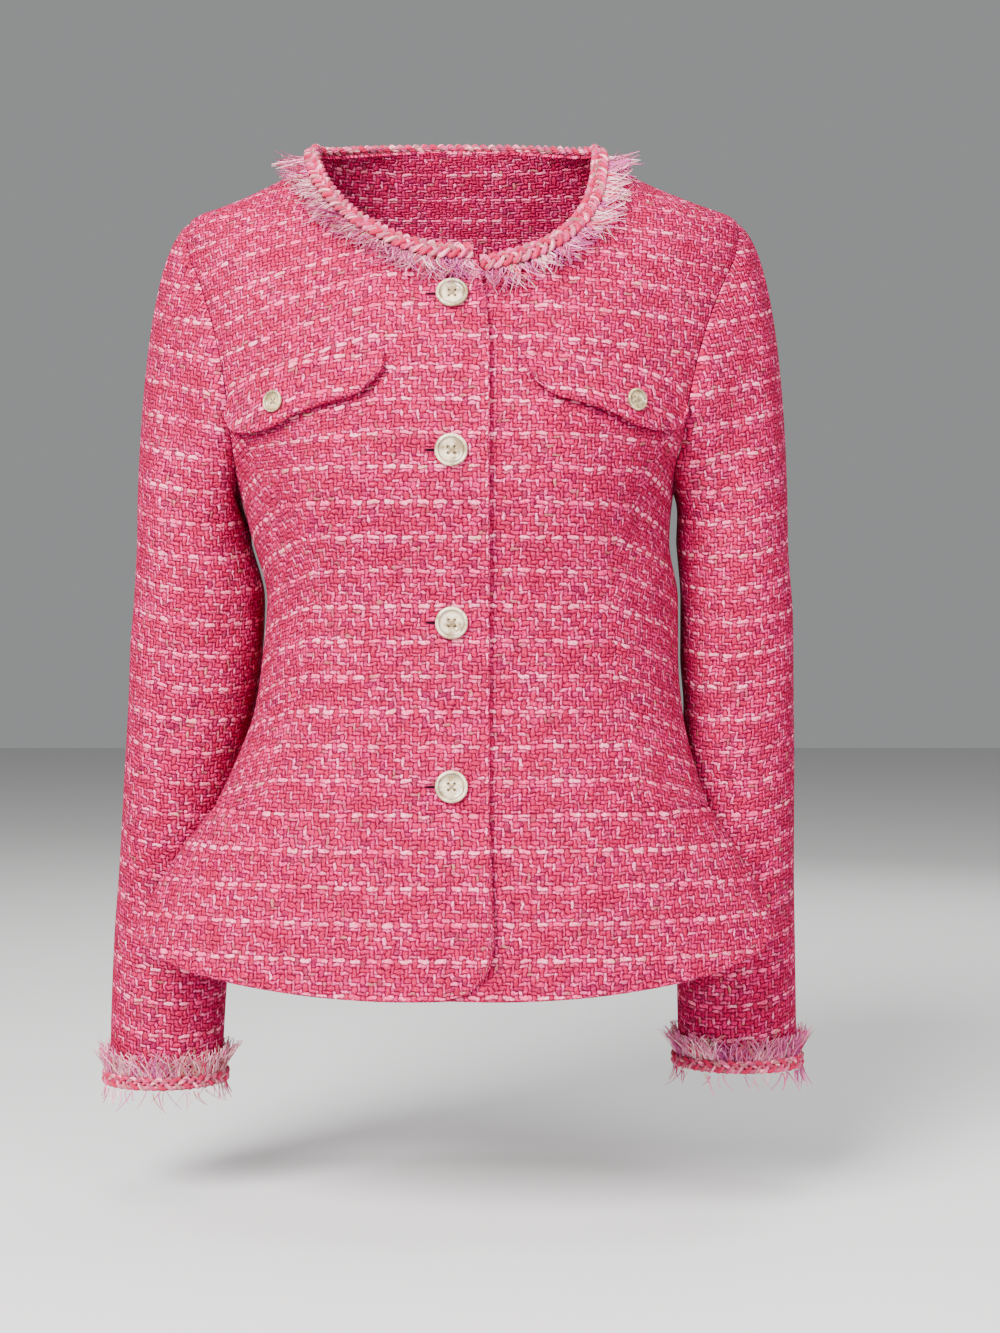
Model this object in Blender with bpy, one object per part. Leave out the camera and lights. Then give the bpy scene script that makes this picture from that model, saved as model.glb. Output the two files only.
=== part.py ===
"""Peplum jacket in tweed, in its worn form, with flaps, buttons, braid and fringe.

The jacket faces -Y, +X is the wearer's left, +Z is up, and the origin lies midway between the
two points where the neckline meets the shoulder seams. Sizes below are in millimetres.
"""
import math

import bmesh
import bpy
import numpy as np

MM = 0.001

# Cloth, seams and laid-on pieces
CLOTH = 2.4
SEAM_GAP = 0.4
OVERLAP_GAP = 0.9
FLAP_GAP = 0.6
BUTTON_GAP = 0.5

# Heights of the main lines
WAIST_SEAM_Z = -457.0
SHOULDER_POINT_Z = -50.0
UNDERARM_Z = -240.0
BACK_NECK_Z = 13.0
BICEP_Z = -275.0

# Body of the jacket: half widths to each side of the centre line, and depths from mid_y
BODY_COLUMNS = ("z", "left", "right", "mid_y", "front", "back")
BODY_ROWS = (
    (20, 52, 52, 8, 16, 48),
    (13, 68, 68, 8, 20, 54),
    (6, 84, 85, 8, 24, 57),
    (0, 97, 98, 8, 27, 60),
    (-12, 109, 115, 8, 33, 66),
    (-25, 131, 139, 8, 43, 72),
    (-38, 158, 170, 8, 53, 77),
    (-50, 186, 198, 8, 62, 82),
    (-62, 190, 201, 8, 73, 85),
    (-78, 191, 202, 7, 86, 88),
    (-94, 188, 199, 7, 95, 91),
    (-120, 184, 194, 6, 107, 94),
    (-160, 178, 186, 6, 121, 96),
    (-200, 168, 174, 5, 130, 95),
    (-240, 151, 153, 5, 132, 92),
    (-275, 141, 150, 4, 126, 88),
    (-315, 131, 156, 2, 115, 83),
    (-354, 134, 156, 0, 110, 82),
    (-390, 140, 160, 0, 110, 86),
    (-430, 157, 172, 0, 115, 97),
    (-457, 172, 184, 0, 120, 107),
)
SECTION_FULLNESS = 0.16

# How far each arm presses the side of the jacket in, centred a little behind the side
DENT_COLUMNS = ("z", "left", "right")
DENT_ROWS = ((-360, 0, 0), (-390, 2, 3), (-430, 10, 14), (-457, 22, 30))
DENT_ANGLE = 102.0
DENT_SPREAD = 13.0

# Soft forms of the front: x, z, spread along x, spread along z, height outwards
FRONT_FORMS = (
    (-84, -232, 44, 52, 6.0),
    (88, -232, 44, 52, 6.0),
    (0, -300, 40, 70, -1.5),
)
# Creases of the front, soft troughs along lines: x and z of one end, of the other, spread, depth
CREASES = (
    (-146, -214, -96, -300, 13, 4.0),
    (-92, -306, -110, -392, 11, 2.0),
    (143, -238, 112, -292, 11, 4.0),
    (150, -330, 118, -318, 9, 2.0),
)

# Lines of the pieces
NECK_LEFT = {"half_width": 97, "front_drop": 86, "squareness": 1.8}
NECK_RIGHT = {"half_width": 98, "front_drop": 93, "squareness": 2.6}
FRONT_EDGE_COLUMNS = ("z", "x")
FRONT_EDGE = ((-80, 13), (-94, 16), (-118, 21), (-150, 24), (-600, 24))
UNDER_EDGE_X = -24.0
OVERLAP_FULL = 20.0
OVERLAP_BLEND = 20.0
SHAPING_COLUMNS = ("z", "left", "right")
SHAPING_SEAM = (
    (-205, 141, 142),
    (-238, 124, 127),
    (-259, 109, 117),
    (-283, 97, 109),
    (-304, 91, 105),
    (-324, 93, 105),
    (-340, 98, 107),
    (-370, 103, 111),
    (-410, 110, 117),
    (-449, 123, 129),
    (-457, 127, 132),
)
BACK_SHAPING_COLUMNS = ("z", "angle")
BACK_SHAPING_SEAM = (
    (-205, 120), (-240, 128), (-290, 135), (-343, 137), (-400, 136), (-457, 133),
)
SHAPING_TOP_TURN = 113.0
SEAM_ROWS = 10
FRONT_ARMHOLE_CELLS = 8
SIDE_ARMHOLE_CELLS = 5
NECK_CELLS = 5
SHOULDER_CELLS = 6
SIDE_SEAM_ANGLE = 90.0
NORMAL_STEP_ANGLE = 2.0
NORMAL_STEP_HEIGHT = 5.0
ARMHOLE_FRONT_SWELL = 28.0
ARMHOLE_BACK_SWELL = 23.0
ARMHOLE_SKEW = 0.25

# Sleeves: distances of the outer and inner sides from the centre line, and depth about mid_y
SLEEVE_COLUMNS = ("z", "outer", "inner", "mid_y", "half_depth")
SLEEVE_LEFT = (
    (-275, 223.5, 144, 12, 56),
    (-315, 226, 134.5, 13, 53),
    (-354, 228.5, 136.5, 15, 51),
    (-390, 231, 141.5, 18, 49.5),
    (-430, 234, 149, 22, 48),
    (-470, 237, 154, 27, 46),
    (-510, 240, 158, 31, 44),
    (-550, 243.5, 161, 34, 42.5),
    (-600, 246, 165, 36, 41),
    (-658, 247.5, 168, 36, 40),
)
SLEEVE_RIGHT = (
    (-275, 234, 156, 12, 56),
    (-315, 236, 159, 13, 54),
    (-354, 238, 159, 15, 52),
    (-390, 239, 161.5, 18, 50),
    (-430, 240, 160, 22, 48),
    (-470, 240.5, 159, 27, 46),
    (-510, 241, 158, 31, 44.5),
    (-550, 242, 158, 34, 43),
    (-600, 243, 158.5, 36, 42),
    (-646, 243.5, 159.5, 36, 41),
)
CUFF_Z = {-1: -658.0, 1: -646.0}
# Sleeve head: how the sleeve leaves the armhole at the top, at the middle and under the arm
HEAD_COLUMNS = ("turn", "leave_angle", "leave_reach", "ring_reach")
HEAD_ROWS = ((0, 19, 22, 140), (90, 60, 16, 50), (180, 150, 12, 15))
HEAD_STEPS = (0, 0.13, 0.28, 0.46, 0.68, 0.88)
ARM_ROWS = 11
SLEEVE_CLEAR = 0.5
# Under sleeve: cells in front of the innermost line and past the side back's cells
UNDER_FRONT_CELLS = 1
UNDER_BACK_CELLS = 3

# Peplum hem in plan: angle from the front, distance from the centre on each side, and height
HEM_COLUMNS = ("angle", "left", "right", "z")
HEM_ROWS = (
    (0, 141, 141, -575),
    (15, 145, 146, -575.5),
    (30, 155, 158, -574),
    (45, 172, 176, -570),
    (58, 195, 198, -563),
    (68, 214, 216, -553),
    (76, 223, 226, -541),
    (81, 209, 211, -541),
    (85, 187, 189, -545),
    (90, 162, 164, -548),
    (96, 149, 152, -550),
    (103, 147, 150, -551),
    (110, 155, 158, -552),
    (117, 176, 177, -553),
    (125, 197, 195, -553),
    (134, 200, 198, -554),
    (145, 183, 181, -557),
    (156, 179, 181, -559),
    (168, 164, 167, -560),
    (180, 160, 160, -560),
)
FLARE_LEAD = 0.35
HEM_CORNER_RADIUS = 36.0
PEPLUM_ROWS = 6
PEPLUM_CELLS = 18
PEPLUM_BACK_CELLS = 32
PEPLUM_CROWDING = 1.1

# Chest flaps: top edge ends at inner and outer side, and depth along the width
FLAP_RIGHT_OF_WEARER = {
    "side": -1, "inner_x": 44, "inner_z": -157, "outer_x": 149, "outer_z": -180,
}
FLAP_LEFT_OF_WEARER = {
    "side": 1, "inner_x": 48, "inner_z": -157, "outer_x": 153, "outer_z": -177,
}
FLAP_TOP_SWEEP = 0.86
FLAP_TOP_DROOP = 1.6
FLAP_LIFT = 1.2
FLAP_DEPTH_COLUMNS = ("along", "depth")
FLAP_DEPTHS = (
    (0.0, 11), (0.06, 22), (0.14, 29), (0.28, 32), (0.42, 35), (0.52, 38), (0.64, 37),
    (0.78, 32), (0.88, 26), (0.95, 18), (1.0, 11),
)
FLAP_CLOTH = 2.2

# Buttons
BUTTON_HEIGHTS = (-117.0, -222.0, -333.0, -440.0)
BUTTON_RADIUS = 10.75
FLAP_BUTTON_RADIUS = 7.5
FLAP_BUTTON_ALONG = 0.53
FLAP_BUTTON_DOWN = 23.0
BUTTON_THICKNESS = 3.4
FLAP_BUTTON_THICKNESS = 3.0
BUTTON_SIDES = 18
HOLE_SIDES = 6
HOLE_REACH = 0.25
HOLE_SIZE = 0.095

# Braid and fringe
BRAID_HALF_WIDTH = 6.5
BRAID_HALF_THICKNESS = 3.2
BRAID_ON_CLOTH = 2.0
BRAID_GAP = 0.8
BRAID_SIDES = 6
BRAID_SWAY = 1.1
BRAID_LENGTH_OF_TURN = 18.0
CUFF_BRAID_HALF_WIDTH = 5.0
CUFF_BRAID_HALF_THICKNESS = 3.0
STRIP_WIDTH = 2.6
STRIP_THICKNESS = 1.2
FRINGE_SEED = 7
STRAND_HALF_WIDTH = 0.7
STRAND_HALF_THICKNESS = 0.45
NECK_STRANDS = 84
CUFF_STRANDS = 42
NECK_STRAND_LENGTH = 13.0
CUFF_STRAND_LENGTH = 17.0

TWEED = (0.80, 0.14, 0.28, 1.0)
TRIM = (0.82, 0.30, 0.38, 1.0)
FRINGE = (0.72, 0.36, 0.56, 1.0)
PEARL = (0.86, 0.80, 0.72, 1.0)


def smooth_table(rows, columns):
    """Return a function that reads a short table at any place, smoothly and without overshoot."""
    data = np.array(sorted(rows), dtype=float)
    at = data[:, 0]
    values = data[:, 1:]
    steps = np.diff(at)
    rises = np.diff(values, axis=0) / steps[:, None]
    slopes = np.zeros_like(values)
    slopes[0] = rises[0]
    slopes[-1] = rises[-1]
    same_way = rises[:-1] * rises[1:] > 0
    before = steps[:-1, None]
    after = steps[1:, None]
    weight_a = 2 * after + before
    weight_b = after + 2 * before
    safe_a = np.where(same_way, rises[:-1], 1.0)
    safe_b = np.where(same_way, rises[1:], 1.0)
    harmonic = (weight_a + weight_b) / (weight_a / safe_a + weight_b / safe_b)
    slopes[1:-1] = np.where(same_way, harmonic, 0.0)

    def read(place):
        place = np.clip(np.asarray(place, dtype=float), at[0], at[-1])
        cell = np.clip(np.searchsorted(at, place, side="right") - 1, 0, len(at) - 2)
        step = steps[cell]
        part = (place - at[cell]) / step
        found = {}
        for number, name in enumerate(columns[1:]):
            low = values[cell, number]
            high = values[cell + 1, number]
            rise_low = slopes[cell, number] * step
            rise_high = slopes[cell + 1, number] * step
            cube = part ** 3
            square = part ** 2
            found[name] = (
                low * (2 * cube - 3 * square + 1) + rise_low * (cube - 2 * square + part)
                + high * (3 * square - 2 * cube) + rise_high * (cube - square)
            )
        return found

    return read


body_at = smooth_table(BODY_ROWS, BODY_COLUMNS)
dent_at = smooth_table(DENT_ROWS, DENT_COLUMNS)
front_edge_at = smooth_table(FRONT_EDGE, FRONT_EDGE_COLUMNS)
shaping_at = smooth_table(SHAPING_SEAM, SHAPING_COLUMNS)
back_shaping_at = smooth_table(BACK_SHAPING_SEAM, BACK_SHAPING_COLUMNS)
head_at = smooth_table(HEAD_ROWS, HEAD_COLUMNS)
hem_at = smooth_table(HEM_ROWS, HEM_COLUMNS)
flap_depth_at = smooth_table(FLAP_DEPTHS, FLAP_DEPTH_COLUMNS)
sleeve_at = {
    -1: smooth_table(SLEEVE_LEFT, SLEEVE_COLUMNS),
    1: smooth_table(SLEEVE_RIGHT, SLEEVE_COLUMNS),
}


def stack(x, y, z):
    """Join three coordinate arrays into points."""
    return np.stack(np.broadcast_arrays(x, y, z), axis=-1).astype(float)


def unit(vectors):
    """Scale vectors to length one."""
    return vectors / np.maximum(np.linalg.norm(vectors, axis=-1, keepdims=True), 1e-9)


def front_relief(x, z):
    """How far the front stands out of its plain section at x, z."""
    height = np.zeros(np.broadcast(x, z).shape)
    for at_x, at_z, spread_x, spread_z, rise in FRONT_FORMS:
        height += rise * np.exp(-((x - at_x) / spread_x) ** 2 - ((z - at_z) / spread_z) ** 2)
    for x0, z0, x1, z1, spread, depth in CREASES:
        run_x = x1 - x0
        run_z = z1 - z0
        length = math.hypot(run_x, run_z)
        along = ((x - x0) * run_x + (z - z0) * run_z) / length
        across = ((x - x0) * run_z - (z - z0) * run_x) / length
        past_end = np.maximum(np.abs(along - length / 2) - length / 4, 0) / (length / 4)
        height -= depth * np.exp(-(across / spread) ** 2 - past_end ** 2)
    return height


def body(angle, z):
    """Outer surface of the bodice at an angle from the front (degrees, + to +X) and a height."""
    angle = np.mod(np.asarray(angle, dtype=float) + 180, 360) - 180
    z = np.asarray(z, dtype=float)
    row = body_at(z)
    dent = dent_at(z)
    turn = np.radians(angle)
    is_right = angle > 0
    half_width = np.where(is_right, row["right"], row["left"])
    depth = np.where(np.cos(turn) > 0, row["front"], row["back"])
    pressed = np.where(is_right, dent["right"], dent["left"])
    near_arm = np.exp(-0.5 * ((np.abs(angle) - DENT_ANGLE) / DENT_SPREAD) ** 2)
    x = half_width * np.sin(turn) - np.sign(angle) * pressed * near_arm
    fullness = 1 + SECTION_FULLNESS * np.sin(turn) ** 2
    y = row["mid_y"] - depth * np.cos(turn) * fullness
    facing = np.clip(np.cos(turn) / 0.4, 0, 1)
    y = y - front_relief(x, z) * facing ** 2 * (3 - 2 * facing)
    return stack(x, y, z)


def surface_normal(surface, first, second, step_first, step_second):
    """Unit normal of a two-parameter surface by central differences."""
    along_first = surface(first + step_first, second) - surface(first - step_first, second)
    along_second = surface(first, second + step_second) - surface(first, second - step_second)
    return unit(np.cross(along_first, along_second))


def body_normal(angle, z):
    """Outward normal of the bodice."""
    return surface_normal(body, np.asarray(angle, float), np.asarray(z, float), NORMAL_STEP_ANGLE,
                          NORMAL_STEP_HEIGHT)


def angle_at(x, z):
    """Front angle at which the bodice has a given x, at a height."""
    row = body_at(z)
    half_width = np.where(np.asarray(x) > 0, row["right"], row["left"])
    return np.degrees(np.arcsin(np.clip(np.asarray(x) / half_width, -1, 1)))


def level(normals):
    """Lay normals level, so that a wall ends in a level face."""
    flat = normals.copy()
    flat[..., 2] = 0
    return unit(flat)


def coons(bottom, top, inner, outer):
    """Fill a patch between four lines of (angle, z) pairs: bottom, top, inner and outer side."""
    across = np.linspace(0, 1, len(bottom))[None, :, None]
    upward = np.linspace(0, 1, len(inner))[:, None, None]
    between = (1 - upward) * bottom[None] + upward * top[None]
    sideways = (1 - across) * inner[:, None] + across * outer[:, None]
    corners = (
        (1 - upward) * ((1 - across) * bottom[0] + across * bottom[-1])
        + upward * ((1 - across) * top[0] + across * top[-1])
    )
    return between + sideways - corners


def armhole(side, turn):
    """Angle and height of the armhole line: turn 0 at the shoulder, 90 in front, 180 below."""
    turn = np.radians(np.asarray(turn, dtype=float))
    swell = np.where(np.sin(turn) >= 0, ARMHOLE_FRONT_SWELL, ARMHOLE_BACK_SWELL)
    angle = SIDE_SEAM_ANGLE - swell * np.sin(turn) * (1 - ARMHOLE_SKEW * np.cos(turn))
    middle = (SHOULDER_POINT_Z + UNDERARM_Z) / 2
    reach = (SHOULDER_POINT_Z - UNDERARM_Z) / 2
    return side * angle, middle + reach * np.cos(turn)


def line(angles, heights):
    """Pairs of angle and height."""
    return np.stack(np.broadcast_arrays(angles, heights), axis=-1).astype(float)


def front_neckline(side, start_x, count):
    """Neckline of a front from start_x near the centre to the side neck point."""
    neck = NECK_LEFT if side < 0 else NECK_RIGHT
    half_width = neck["half_width"]
    squareness = neck["squareness"]
    turns = np.linspace(0, math.pi / 2, count)
    x = side * half_width * np.sin(turns)
    x = x + (start_x - x[0]) * np.cos(turns) ** 2
    past = np.clip(np.abs(x) / half_width, 0, 1)
    past = np.where(side * x > 0, past, 0)
    heights = -neck["front_drop"] * (1 - past ** squareness) ** (1 / squareness)
    return line(angle_at(x, heights), heights)


def back_neckline(side, count):
    """Neckline of the back from the centre back to the side neck point."""
    half_width = (NECK_LEFT if side < 0 else NECK_RIGHT)["half_width"]
    x = half_width * np.sin(np.linspace(0, math.pi / 2, count))
    heights = BACK_NECK_Z * (1 - (x / half_width) ** 2)
    return line(side * (180 - np.abs(angle_at(side * x, heights))), heights)


def shoulder_seam(side, count):
    """Shoulder seam from the side neck point to the shoulder point."""
    heights = np.linspace(0, SHOULDER_POINT_Z, count)
    return line(side * SIDE_SEAM_ANGLE * np.ones(count), heights)


def shaping_seam(side, facing):
    """Shaping seam from the waist up to the armhole: facing is 1 on the front, -1 on the back."""
    top_angle, top_z = armhole(side, facing * SHAPING_TOP_TURN)
    heights = np.linspace(WAIST_SEAM_Z, float(top_z), SEAM_ROWS + 1)
    if facing > 0:
        column = shaping_at(heights)["left" if side < 0 else "right"]
        angles = angle_at(side * column, heights)
    else:
        angles = side * back_shaping_at(heights)["angle"]
    angles[-1] = float(top_angle)
    angles[-2] = (angles[-1] + angles[-2] * 2) / 3
    return line(angles, heights)


def front_patch(side):
    """Angles and heights over a front."""
    edge_z_top = -(NECK_LEFT if side < 0 else NECK_RIGHT)["front_drop"]
    top_x = front_edge_at(edge_z_top)["x"] if side < 0 else UNDER_EDGE_X
    neck = front_neckline(side, float(top_x), NECK_CELLS + 1)
    top = np.vstack([neck, shoulder_seam(side, SHOULDER_CELLS + 1)[1:]])
    seam = shaping_seam(side, 1)
    turns = np.linspace(SHAPING_TOP_TURN, 0, FRONT_ARMHOLE_CELLS + 1)[1:]
    outer = np.vstack([seam, line(*armhole(side, turns))])
    edge_z = np.linspace(WAIST_SEAM_Z, edge_z_top, len(outer))
    edge_x = front_edge_at(edge_z)["x"] if side < 0 else np.full(len(outer), UNDER_EDGE_X)
    inner = line(angle_at(edge_x, edge_z), edge_z)
    inner[-1] = top[0]
    share = np.linspace(0, 1, len(top))
    bottom = line(inner[0, 0] + (outer[0, 0] - inner[0, 0]) * share, WAIST_SEAM_Z)
    return coons(bottom, top, inner, outer)


def side_patch(side, facing):
    """Angles and heights over a side front or side back, from its shaping seam to the side."""
    turns = facing * np.linspace(SHAPING_TOP_TURN, 180, SIDE_ARMHOLE_CELLS + 1)
    top = line(*armhole(side, turns))
    inner = shaping_seam(side, facing)
    side_z = np.linspace(WAIST_SEAM_Z, UNDERARM_Z, SEAM_ROWS + 1)
    outer = line(side * SIDE_SEAM_ANGLE * np.ones(SEAM_ROWS + 1), side_z)
    share = np.linspace(0, 1, SIDE_ARMHOLE_CELLS + 1)
    bottom = line(inner[0, 0] + (outer[0, 0] - inner[0, 0]) * share, WAIST_SEAM_Z)
    return coons(bottom, top, inner, outer)


def back_patch(side):
    """Angles and heights over one half of the back, from the centre to its shaping seam."""
    neck = back_neckline(side, NECK_CELLS + 1)
    top = np.vstack([neck, shoulder_seam(side, SHOULDER_CELLS + 1)[1:]])
    seam = shaping_seam(side, -1)
    turns = np.linspace(-SHAPING_TOP_TURN, 0, FRONT_ARMHOLE_CELLS + 1)[1:]
    outer = np.vstack([seam, line(*armhole(side, turns))])
    centre_z = np.linspace(WAIST_SEAM_Z, BACK_NECK_Z, len(outer))
    inner = line(side * 180.0 * np.ones(len(outer)), centre_z)
    share = np.linspace(0, 1, len(top))
    bottom = line(inner[0, 0] + (outer[0, 0] - inner[0, 0]) * share, WAIST_SEAM_Z)
    return coons(bottom, top, inner, outer)


def inset_edges(points, sides, amount):
    """Draw the named edges of a grid of points in by an amount, towards the next row."""
    moved = points.copy()
    if "bottom" in sides:
        moved[0] += amount * unit(points[1] - points[0])
    if "top" in sides:
        moved[-1] += amount * unit(points[-2] - points[-1])
    if "inner" in sides:
        moved[:, 0] += amount * unit(points[:, 1] - points[:, 0])
    if "outer" in sides:
        moved[:, -1] += amount * unit(points[:, -2] - points[:, -1])
    return moved


def draw_in_shoulder(points):
    """Draw the shoulder seam of a front or back in by half a seam gap."""
    seam = slice(NECK_CELLS, None)
    points[-1, seam] += SEAM_GAP / 2 * unit(points[-2, seam] - points[-1, seam])


def make_material(name, colour, roughness):
    """Plain Principled material."""
    material = bpy.data.materials.new(name)
    material.use_nodes = True
    shader = material.node_tree.nodes["Principled BSDF"]
    shader.inputs["Base Color"].default_value = colour
    shader.inputs["Roughness"].default_value = roughness
    shader.inputs["Metallic"].default_value = 0.0
    return material


def add_object(name, points, faces, material):
    """Make one closed object from points in millimetres and faces."""
    mesh = bpy.data.meshes.new(name)
    mesh.from_pydata([tuple(point * MM) for point in points], [], faces)
    shape = bmesh.new()
    shape.from_mesh(mesh)
    bmesh.ops.recalc_face_normals(shape, faces=shape.faces[:])
    shape.to_mesh(mesh)
    shape.free()
    mesh.shade_smooth()
    mesh.set_sharp_from_angle(angle=math.radians(50))
    mesh.materials.append(material)
    piece = bpy.data.objects.new(name, mesh)
    bpy.context.scene.collection.objects.link(piece)
    return piece


def add_wall(name, outer, inner, material):
    """Make a cloth wall between an outer and an inner grid of points."""
    rows, columns = outer.shape[:2]
    points = np.vstack([outer.reshape(-1, 3), inner.reshape(-1, 3)])
    below = rows * columns
    faces = []
    for row in range(rows - 1):
        for column in range(columns - 1):
            beside = column + 1
            a = row * columns + column
            b = row * columns + beside
            c = (row + 1) * columns + beside
            d = (row + 1) * columns + column
            if np.linalg.norm(points[a] - points[c]) < np.linalg.norm(points[b] - points[d]):
                halves = ((a, b, c), (a, c, d))
            else:
                halves = ((a, b, d), (b, c, d))
            for first, second, third in halves:
                faces.append((first, second, third))
                faces.append((below + third, below + second, below + first))
    for column in range(columns - 1):
        beside = column + 1
        faces.append((column, column + below, beside + below, beside))
        high = (rows - 1) * columns
        faces.append((high + column, high + beside, high + beside + below, high + column + below))
    for row in range(rows - 1):
        for edge in (0, columns - 1):
            low = row * columns + edge
            faces.append((low, low + columns, low + columns + below, low + below))
    return add_object(name, points, faces, material)


def overlap_shift(points):
    """How far the left front lies under the right one: full under it, none past its edge."""
    edge = front_edge_at(points[..., 2])["x"]
    past = np.clip((points[..., 0] - edge - OVERLAP_FULL) / OVERLAP_BLEND, 0, 1)
    ease = 1 - past * past * (3 - 2 * past)
    return (CLOTH + OVERLAP_GAP) * ease


def build_fronts(tweed):
    """Both fronts: the right one laps over the left."""
    for side, name in ((-1, "front_right"), (1, "front_left")):
        patch = front_patch(side)
        points = body(patch[..., 0], patch[..., 1])
        normals = body_normal(patch[..., 0], patch[..., 1])
        if side > 0:
            points = points - normals * overlap_shift(points)[..., None]
        points = inset_edges(points, ("bottom", "outer"), SEAM_GAP / 2)
        draw_in_shoulder(points)
        normals[0] = level(normals[0])
        add_wall(name, points, points - normals * CLOTH, tweed)


def build_sides(tweed):
    """Side fronts and side backs, between the shaping seams and the side seams."""
    for side, hand in ((-1, "right"), (1, "left")):
        for facing, word in ((1, "front"), (-1, "back")):
            patch = side_patch(side, facing)
            points = body(patch[..., 0], patch[..., 1])
            normals = body_normal(patch[..., 0], patch[..., 1])
            points = inset_edges(points, ("bottom", "inner", "outer"), SEAM_GAP / 2)
            normals[0] = level(normals[0])
            add_wall(f"side_{word}_{hand}", points, points - normals * CLOTH, tweed)


def build_back(tweed):
    """The middle of the back, in one piece."""
    halves = {}
    for side in (-1, 1):
        patch = back_patch(side)
        points = body(patch[..., 0], patch[..., 1])
        normals = body_normal(patch[..., 0], patch[..., 1])
        points = inset_edges(points, ("bottom", "outer"), SEAM_GAP / 2)
        draw_in_shoulder(points)
        normals[0] = level(normals[0])
        halves[side] = (points, normals)
    left_points, left_normals = halves[-1]
    right_points, right_normals = halves[1]
    points = np.concatenate([left_points[:, ::-1], right_points[:, 1:]], axis=1)
    normals = np.concatenate([left_normals[:, ::-1], right_normals[:, 1:]], axis=1)
    centre = left_points.shape[1] - 1
    normals[:, centre] = unit(left_normals[:, 0] + right_normals[:, 0])
    points[:, centre, 0] = 0
    add_wall("back", points, points - normals * CLOTH, tweed)


def waist_radius(angle):
    """Distance from the centre to the waist seam at a plan angle, signed like the front angle."""
    sweep = np.linspace(-179.9, 179.9, 721)
    ring = body(sweep, np.full(sweep.shape, WAIST_SEAM_Z))
    plan_angle = np.degrees(np.arctan2(ring[:, 0], -ring[:, 1]))
    reach = np.hypot(ring[:, 0], ring[:, 1])
    return np.interp(angle, plan_angle, reach, period=360)


def peplum(angle, down):
    """Outer surface of the peplum: plan angle in degrees, down from 0 at the seam to 1."""
    angle = np.asarray(angle, dtype=float)
    down = np.asarray(down, dtype=float)
    hem = hem_at(np.abs(angle))
    hem_radius = np.where(angle > 0, hem["right"], hem["left"])
    top_radius = waist_radius(angle)
    flare = (1 + FLARE_LEAD) * down - FLARE_LEAD * down ** 2
    radius = top_radius + (hem_radius - top_radius) * flare
    z = WAIST_SEAM_Z + (hem["z"] - WAIST_SEAM_Z) * down
    turn = np.radians(angle)
    return stack(radius * np.sin(turn), -radius * np.cos(turn), z)


def peplum_normal(angle, down):
    """Outward normal of the peplum."""
    inside = np.clip(down, 0.02, 0.98)
    return -surface_normal(peplum, np.asarray(angle, float), inside, 0.5, 0.02)


def peplum_piece(name, angles, down, tweed, edges=("inner", "outer")):
    """One piece of the peplum over a grid of angles and heights."""
    points = peplum(angles, down)
    normals = peplum_normal(angles, down)
    points = inset_edges(points, ("bottom",) + edges, SEAM_GAP / 2)
    normals[0] = level(normals[0])
    add_wall(name, points, points - normals * CLOTH, tweed)


def build_peplum(tweed):
    """Peplum pieces, from the waist seam down to the hem."""
    down = np.linspace(0, 1, PEPLUM_ROWS + 1)[:, None]
    waist_front = float(body(0.0, WAIST_SEAM_Z)[1])
    hem_front = float(hem_at(0.0)["left"])
    length = WAIST_SEAM_Z - float(hem_at(0.0)["z"])
    over_x = float(front_edge_at(WAIST_SEAM_Z)["x"])
    edge_angle = math.degrees(math.atan2(over_x, -waist_front))
    share = np.linspace(0, 1, PEPLUM_CELLS + 1) ** PEPLUM_CROWDING
    angles = edge_angle + (-SIDE_SEAM_ANGLE - edge_angle) * share[None, :]
    from_edge = np.radians(edge_angle - angles) * hem_front
    corner = np.clip(HEM_CORNER_RADIUS - from_edge, 0, HEM_CORNER_RADIUS)
    rise = HEM_CORNER_RADIUS - np.sqrt(HEM_CORNER_RADIUS ** 2 - corner ** 2)
    peplum_piece("peplum_front_right", angles + 0 * down, down * (1 - rise / length), tweed,
                 edges=("outer",))
    share = np.linspace(0, 1, PEPLUM_CELLS + 1)
    under_angle = math.degrees(math.atan2(UNDER_EDGE_X, -waist_front))
    angles = under_angle + (SIDE_SEAM_ANGLE - under_angle) * share[None, :] + 0 * down
    points = peplum(angles, down + 0 * angles)
    normals = peplum_normal(angles, down + 0 * angles)
    points = points - normals * overlap_shift(points)[..., None]
    points = inset_edges(points, ("bottom", "outer"), SEAM_GAP / 2)
    normals[0] = level(normals[0])
    add_wall("peplum_front_left", points, points - normals * CLOTH, tweed)
    angles = np.linspace(SIDE_SEAM_ANGLE, 360 - SIDE_SEAM_ANGLE, PEPLUM_BACK_CELLS + 1)
    angles = angles[None, :] + 0 * down
    angles = np.where(angles > 180, angles - 360, angles)
    peplum_piece("peplum_back", angles, down + 0 * angles, tweed)


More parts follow.
